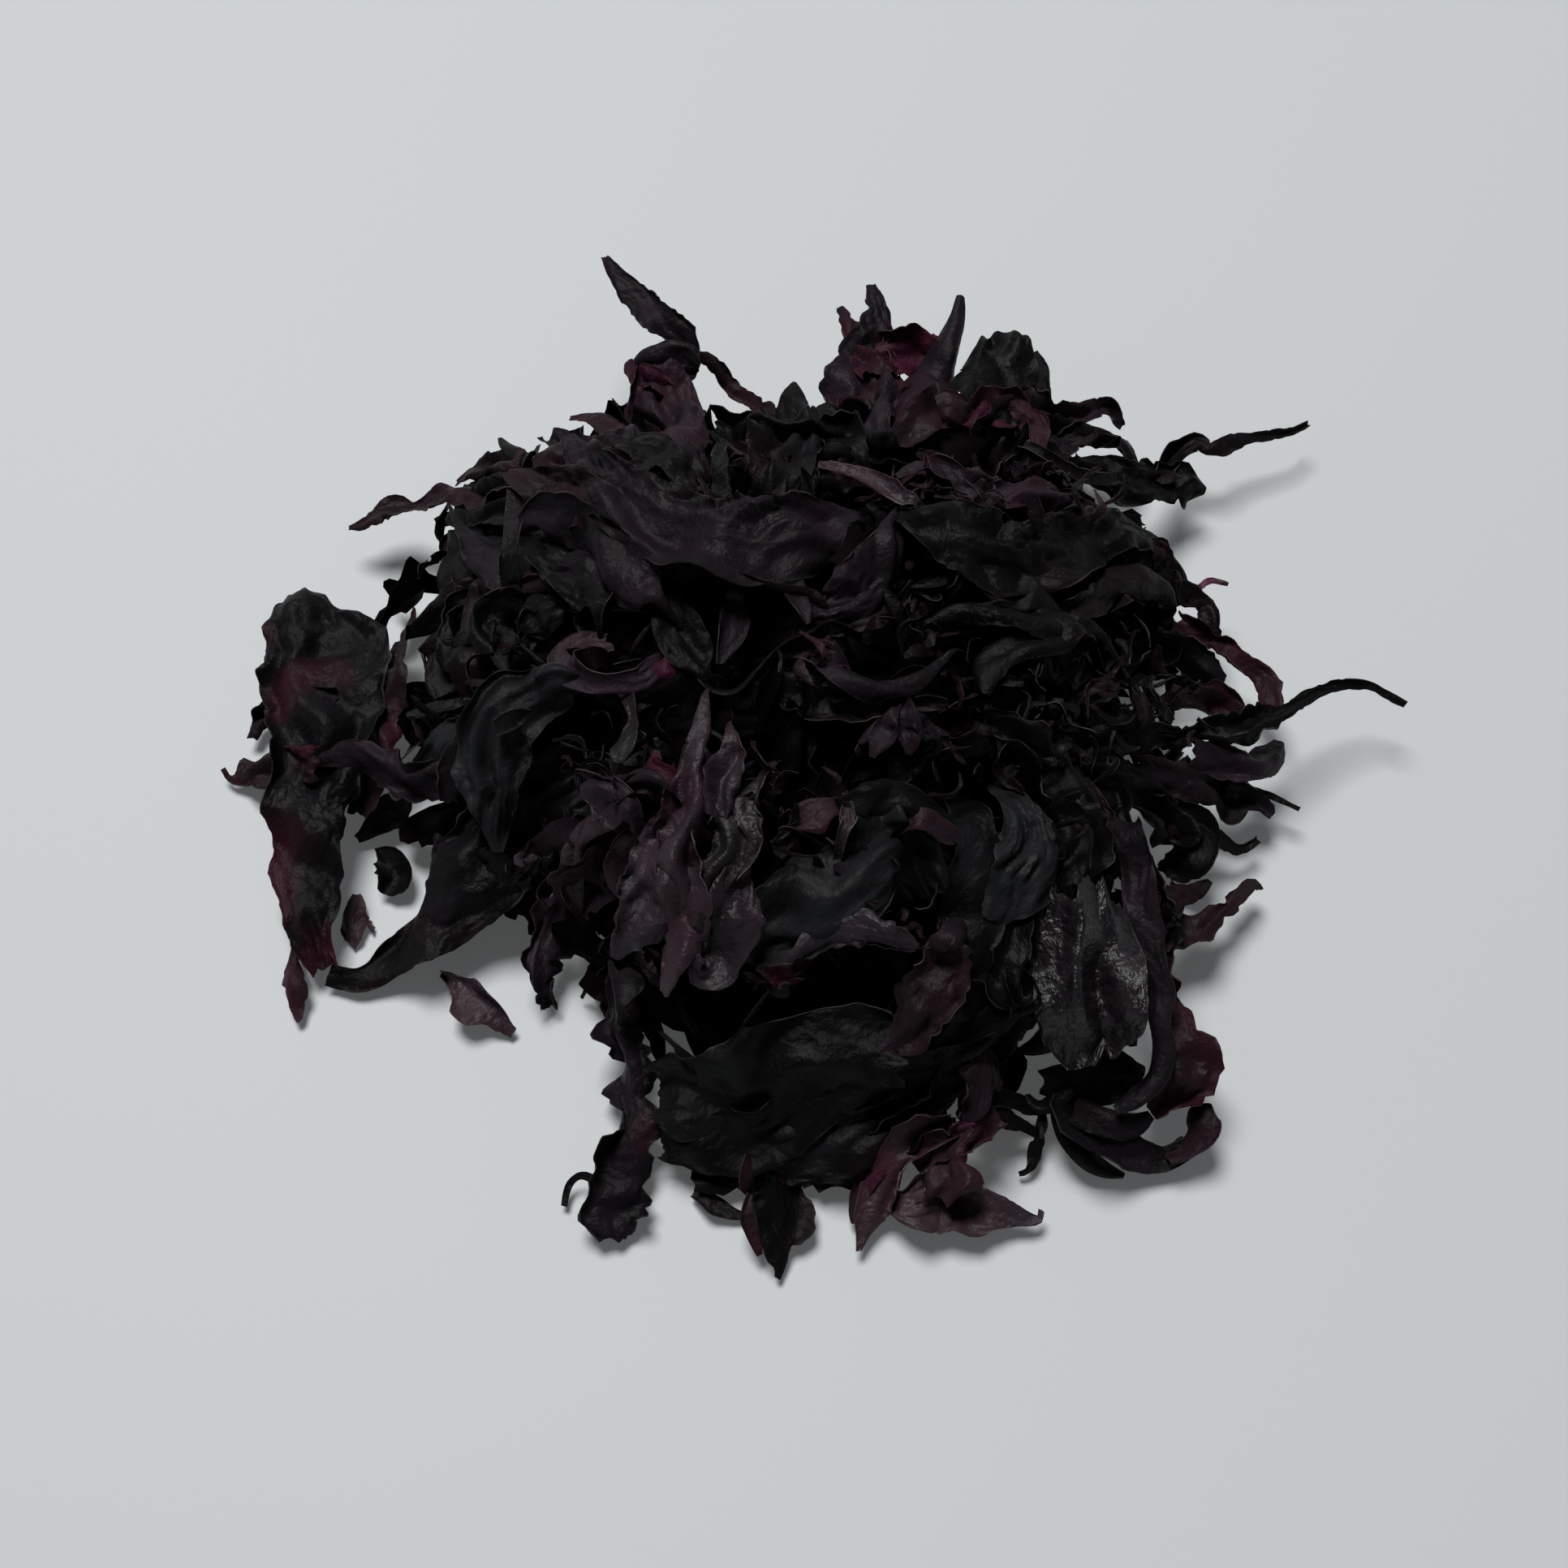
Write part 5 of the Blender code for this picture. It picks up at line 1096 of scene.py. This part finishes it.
def draped_spines(count, seed):
    """Fronds that run over the mound and down its sides, close to it."""
    draw = random.Random(seed)
    spines = []
    for number in range(count):
        bearing = math.tau * (number + draw.uniform(-0.4, 0.4)) / count
        start = draw.uniform(0.1, 0.8)
        end = min(1.04, start + draw.uniform(0.25, 0.45))
        turn = math.radians(draw.uniform(-30, 30))
        widest = draw.uniform(5.0, 12.0)
        rise = draw.uniform(-4.0, 2.0)
        knots, outwards = [], []
        for i, width in enumerate((0.7, 1.0, 1.0, 0.9, 0.5)):
            down = i / 4
            point = mound_point(bearing + turn * down, start + (end - start) * down,
                                rise + draw.uniform(-2.0, 2.0))
            knots.append(Vector((*point, widest * width)))
            outwards.append(mound_outward(point.x, point.y))
        spines.append(Spine(knots, outwards, draw.uniform(-35, 35), draw.uniform(-60, 60),
                            draw.uniform(1.0, 2.4), draw.uniform(0.0, 0.5), draw.uniform(0.0, 0.2),
                            draw.uniform(0.2, 0.8)))
    return out_of_the_way(spines)


def crumb_spines(seed):
    """Small crinkled bits that lie between the fronds, in clusters."""
    draw = random.Random(seed)
    spines = []
    for x, y, z, reach, count, tint in CRUMBS:
        for _ in range(count):
            point = lift(x + draw.gauss(0.0, reach), y + draw.gauss(0.0, reach),
                         z + draw.uniform(-3.0, 3.0))
            heading = Vector((draw.gauss(0, 1), draw.gauss(0, 1), draw.gauss(0, 0.7))).normalized()
            length = draw.uniform(3.0, 10.0)
            widest = draw.uniform(0.4, 2.0)
            bow = Vector((draw.gauss(0, 1), draw.gauss(0, 1), draw.gauss(0, 1))) * (length * 0.2)
            knots = []
            for i, width in enumerate((0.4, 1.0, 0.9, 0.3)):
                place = point + heading * (length * (i / 3 - 0.5)) + bow * math.sin(math.pi * i / 3)
                knots.append(Vector((*place, widest * width)))
            spines.append(Spine(knots, [TOWARDS_EYE] * 4, draw.uniform(-80, 80),
                                draw.uniform(-120, 120), draw.uniform(0.8, 2.0),
                                tint + draw.uniform(-0.2, 0.2), draw.uniform(0.0, 0.3), 1.0))
    return spines


def tuft_spines(count, seed, lengths, half_widths, rise=-6.0):
    """Torn leaves that stand off the mound at all angles."""
    draw = random.Random(seed)
    spines = []
    for _ in range(count):
        bearing = draw.uniform(0.0, math.tau)
        share = 0.97 * math.sqrt(draw.uniform(0.0, 1.0))
        root = mound_point(bearing, share, rise)
        normal = mound_outward(root.x, root.y)
        aside = Vector((math.cos(draw.uniform(0, math.tau)), math.sin(draw.uniform(0, math.tau)), 0))
        heading = (aside - normal * aside.dot(normal)).normalized()
        lean = math.radians(draw.uniform(5.0, 50.0))
        sag = math.radians(draw.uniform(-60.0, 10.0))
        length = draw.uniform(*lengths)
        widest = draw.uniform(*half_widths)
        point = root.copy()
        knots, outwards = [], []
        for i, width in enumerate((0.6, 1.0, 1.0, 0.6)):
            angle = lean + sag * i / 3
            step = heading * math.cos(angle) + normal * math.sin(angle)
            knots.append(Vector((*point, widest * width)))
            outwards.append(normal * math.cos(angle) - heading * math.sin(angle))
            point = point + step * (length / 3)
        spines.append(Spine(knots, outwards, draw.uniform(-70, 70), draw.uniform(-70, 70),
                            draw.uniform(0.6, 1.8), draw.uniform(0.0, 0.7), draw.uniform(0.0, 0.2),
                            draw.uniform(0.3, 1.0)))
    return out_of_the_way(spines)


# The build

BROAD = 8.0                       # half width from which a frond counts as broad
SLIM = 3.6                        # and up to which it counts as a strand
PALE = 1.65                       # paleness from which a frond has a satin sheen


def widest_of(row):
    """A frond's greatest half width."""
    return max(half for *_, half in row.spine)


def on_side(spines, left):
    """The spines whose middle lies on one side of the mound."""
    return [spine for spine in spines
            if (spine.knots[len(spine.knots) // 2].x < MOUND_CENTRE.x) == left]


sheet_tree = frond_tree()
leaf = leaf_finish("dulse_leaf", 0.52, 0.36, 1.4 * MM, 3.4 * MM, gloss=0.10)
satin = leaf_finish("dulse_satin_leaf", 0.50, 0.42, 1.2 * MM, 2.8 * MM, gloss=0.26)
# the leaf finish with its colours darkened to 0.22 as painted shade, for the fronds that fill the heap
leaf_in_painted_shade = leaf_finish("dulse_inner_leaf", 0.6, 0.35, 1.4 * MM, 3.4 * MM, gloss=0.02, painted_shade=0.22)
pebbled = leaf_finish("dulse_glossy_leaf", 0.42, 0.8, 1.6 * MM, 2.6 * MM, gloss=0.44)

laid = [(row, lay_frond(row)) for row in FRONDS]
shiny = [spine for row, spine in laid if row.name == "glossy"]
faded = [spine for row, spine in laid if row.pale >= PALE]
others = [(widest_of(row), spine) for row, spine in laid if row.pale < PALE and row.name != "glossy"]
broad = [spine for widest, spine in others if widest >= BROAD]
slim = [spine for widest, spine in others if widest <= SLIM]
middling = [spine for widest, spine in others if SLIM < widest < BROAD]

pieces = [
    make_core(core_finish()),
    make_fronds("dulse_glossy_frond", shiny, pebbled, 1, cells_across=44, cell_length=0.8 * MM,
                lobe_depth=0.25, bay_depth=0.2, tear_depth=0.8 * MM, fold_height=13 * MM),
    make_fronds("dulse_strands", slim, leaf, 2, cells_across=9, cell_length=0.8 * MM,
                bay_depth=0.15, tear_depth=0.7 * MM, twist=1.4),
    make_fronds("dulse_under_fronds", draped_spines(90, 21), leaf_in_painted_shade, 3, cells_across=13,
                cell_length=1.9 * MM, tumble=12 * MM),
    make_fronds("dulse_torn_leaves", tuft_spines(300, 22, (12, 26), (3, 8)), leaf_in_painted_shade, 4,
                cells_across=10, cell_length=1.6 * MM, lobe_depth=0.9, bay_depth=0.7,
                tear_depth=2.6 * MM, tumble=9 * MM, twist=0.9),
    make_fronds("dulse_shreds", tuft_spines(600, 23, (5, 15), (0.5, 2.4), rise=1.0), leaf, 5,
                cells_across=5, cell_length=0.9 * MM, tumble=7 * MM, twist=2.0),
    make_fronds("dulse_crumbs", crumb_spines(24), leaf, 10, cells_across=5, cell_length=0.8 * MM,
                tumble=6 * MM, twist=2.0),
    make_fronds("dulse_satin_fronds", faded, satin, 11, cells_across=20, cell_length=0.9 * MM,
                bay_depth=0.3, fold_height=7 * MM, pleat_height=3.5 * MM, twist=0.8),
]
for side, left in (("left", True), ("right", False)):
    pieces += [
        make_fronds("dulse_broad_" + side, on_side(broad, left), leaf, 6 + left, cells_across=34,
                    cell_length=0.9 * MM, lobe_depth=0.4, bay_depth=0.25, tear_depth=2.0 * MM,
                    fold_height=8 * MM, pleat_height=3 * MM),
        make_fronds("dulse_narrow_" + side, on_side(middling, left), leaf, 8 + left,
                    cells_across=17, cell_length=1.0 * MM, bay_depth=0.4, swell_height=2 * MM,
                    fold_height=5 * MM, pleat_height=2.5 * MM, twist=0.9),
    ]
for piece in pieces:
    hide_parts("dulse_heap")
    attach(piece, "root")


# Floor, light and camera, in metres

FLOOR_REACH = 4.0                 # from the middle to each side
FLOOR_COLOUR = (0.582, 0.608, 0.616, 1.0)
FLOOR_ROUGHNESS = 0.6
FLOOR_GLOW_COLOUR = (0.96, 0.99, 1.0, 1.0)
# painted light: the floor glows of itself, so that the shadows on it are lighter
FLOOR_GLOW = 0.06                 # lightens the shadows, as in a bright room
SKY_COLOUR = (0.93, 0.97, 1.0, 1.0)
SKY_AT_HORIZON = 0.34
SKY_OVERHEAD = 0.04
LIGHT_PLACE = (-0.9, 1.75, 4.4)
LIGHT_WIDTH = 2.2
LIGHT_POWER = 206.0               # watts


def make_floor():
    """The plain pale floor, which glows a little as painted light that lightens the shadows on it."""
    bm = bmesh.new()
    bmesh.ops.create_grid(bm, x_segments=1, y_segments=1, size=FLOOR_REACH)
    mesh = bpy.data.meshes.new("floor")
    bm.to_mesh(mesh)
    bm.free()
    material, _, shader = new_material("pale_floor")
    for key, value in (("Base Color", FLOOR_COLOUR), ("Roughness", FLOOR_ROUGHNESS),
                       ("Emission Color", FLOOR_GLOW_COLOUR), ("Emission Strength", FLOOR_GLOW)):
        shader.inputs[key].default_value = value
    mesh.materials.append(material)
    put_in_scene("floor", mesh)


def make_studio():
    """A large soft light above, and a pale sky that is brighter near the horizon."""
    world = bpy.data.worlds.new("studio")
    world.use_nodes = True
    background = world.node_tree.nodes["Background"]
    background.inputs["Color"].default_value = SKY_COLOUR
    above_horizon = add_node(world.node_tree, "ShaderNodeTexCoord", output="Generated").part("Z")
    feed(eased(above_horizon, 0.25, 0.5, SKY_AT_HORIZON, SKY_OVERHEAD), background.inputs["Strength"])
    bpy.context.scene.world = world

    light = bpy.data.lights.new("overhead", "AREA")
    light.shape = "DISK"
    light.size = LIGHT_WIDTH
    light.energy = LIGHT_POWER
    obj = put_in_scene("overhead", light)
    obj.location = LIGHT_PLACE
    obj.rotation_euler = (-Vector(LIGHT_PLACE)).to_track_quat("-Z", "Y").to_euler()


def make_camera():
    """The camera, at the eye that the table's lines of sight start from."""
    camera = bpy.data.cameras.new("camera")
    camera.sensor_width = 36.0
    camera.angle = math.radians(VIEW_ANGLE)
    camera.clip_start = 0.01
    obj = put_in_scene("camera", camera)
    obj.location = (EYE + SHIFT) * MM
    obj.rotation_euler = (math.radians(90.0 - EYE_ELEVATION), 0.0, 0.0)
    bpy.context.scene.camera = obj


make_floor()
make_studio()
make_camera()
bpy.context.scene.view_settings.view_transform = "Standard"
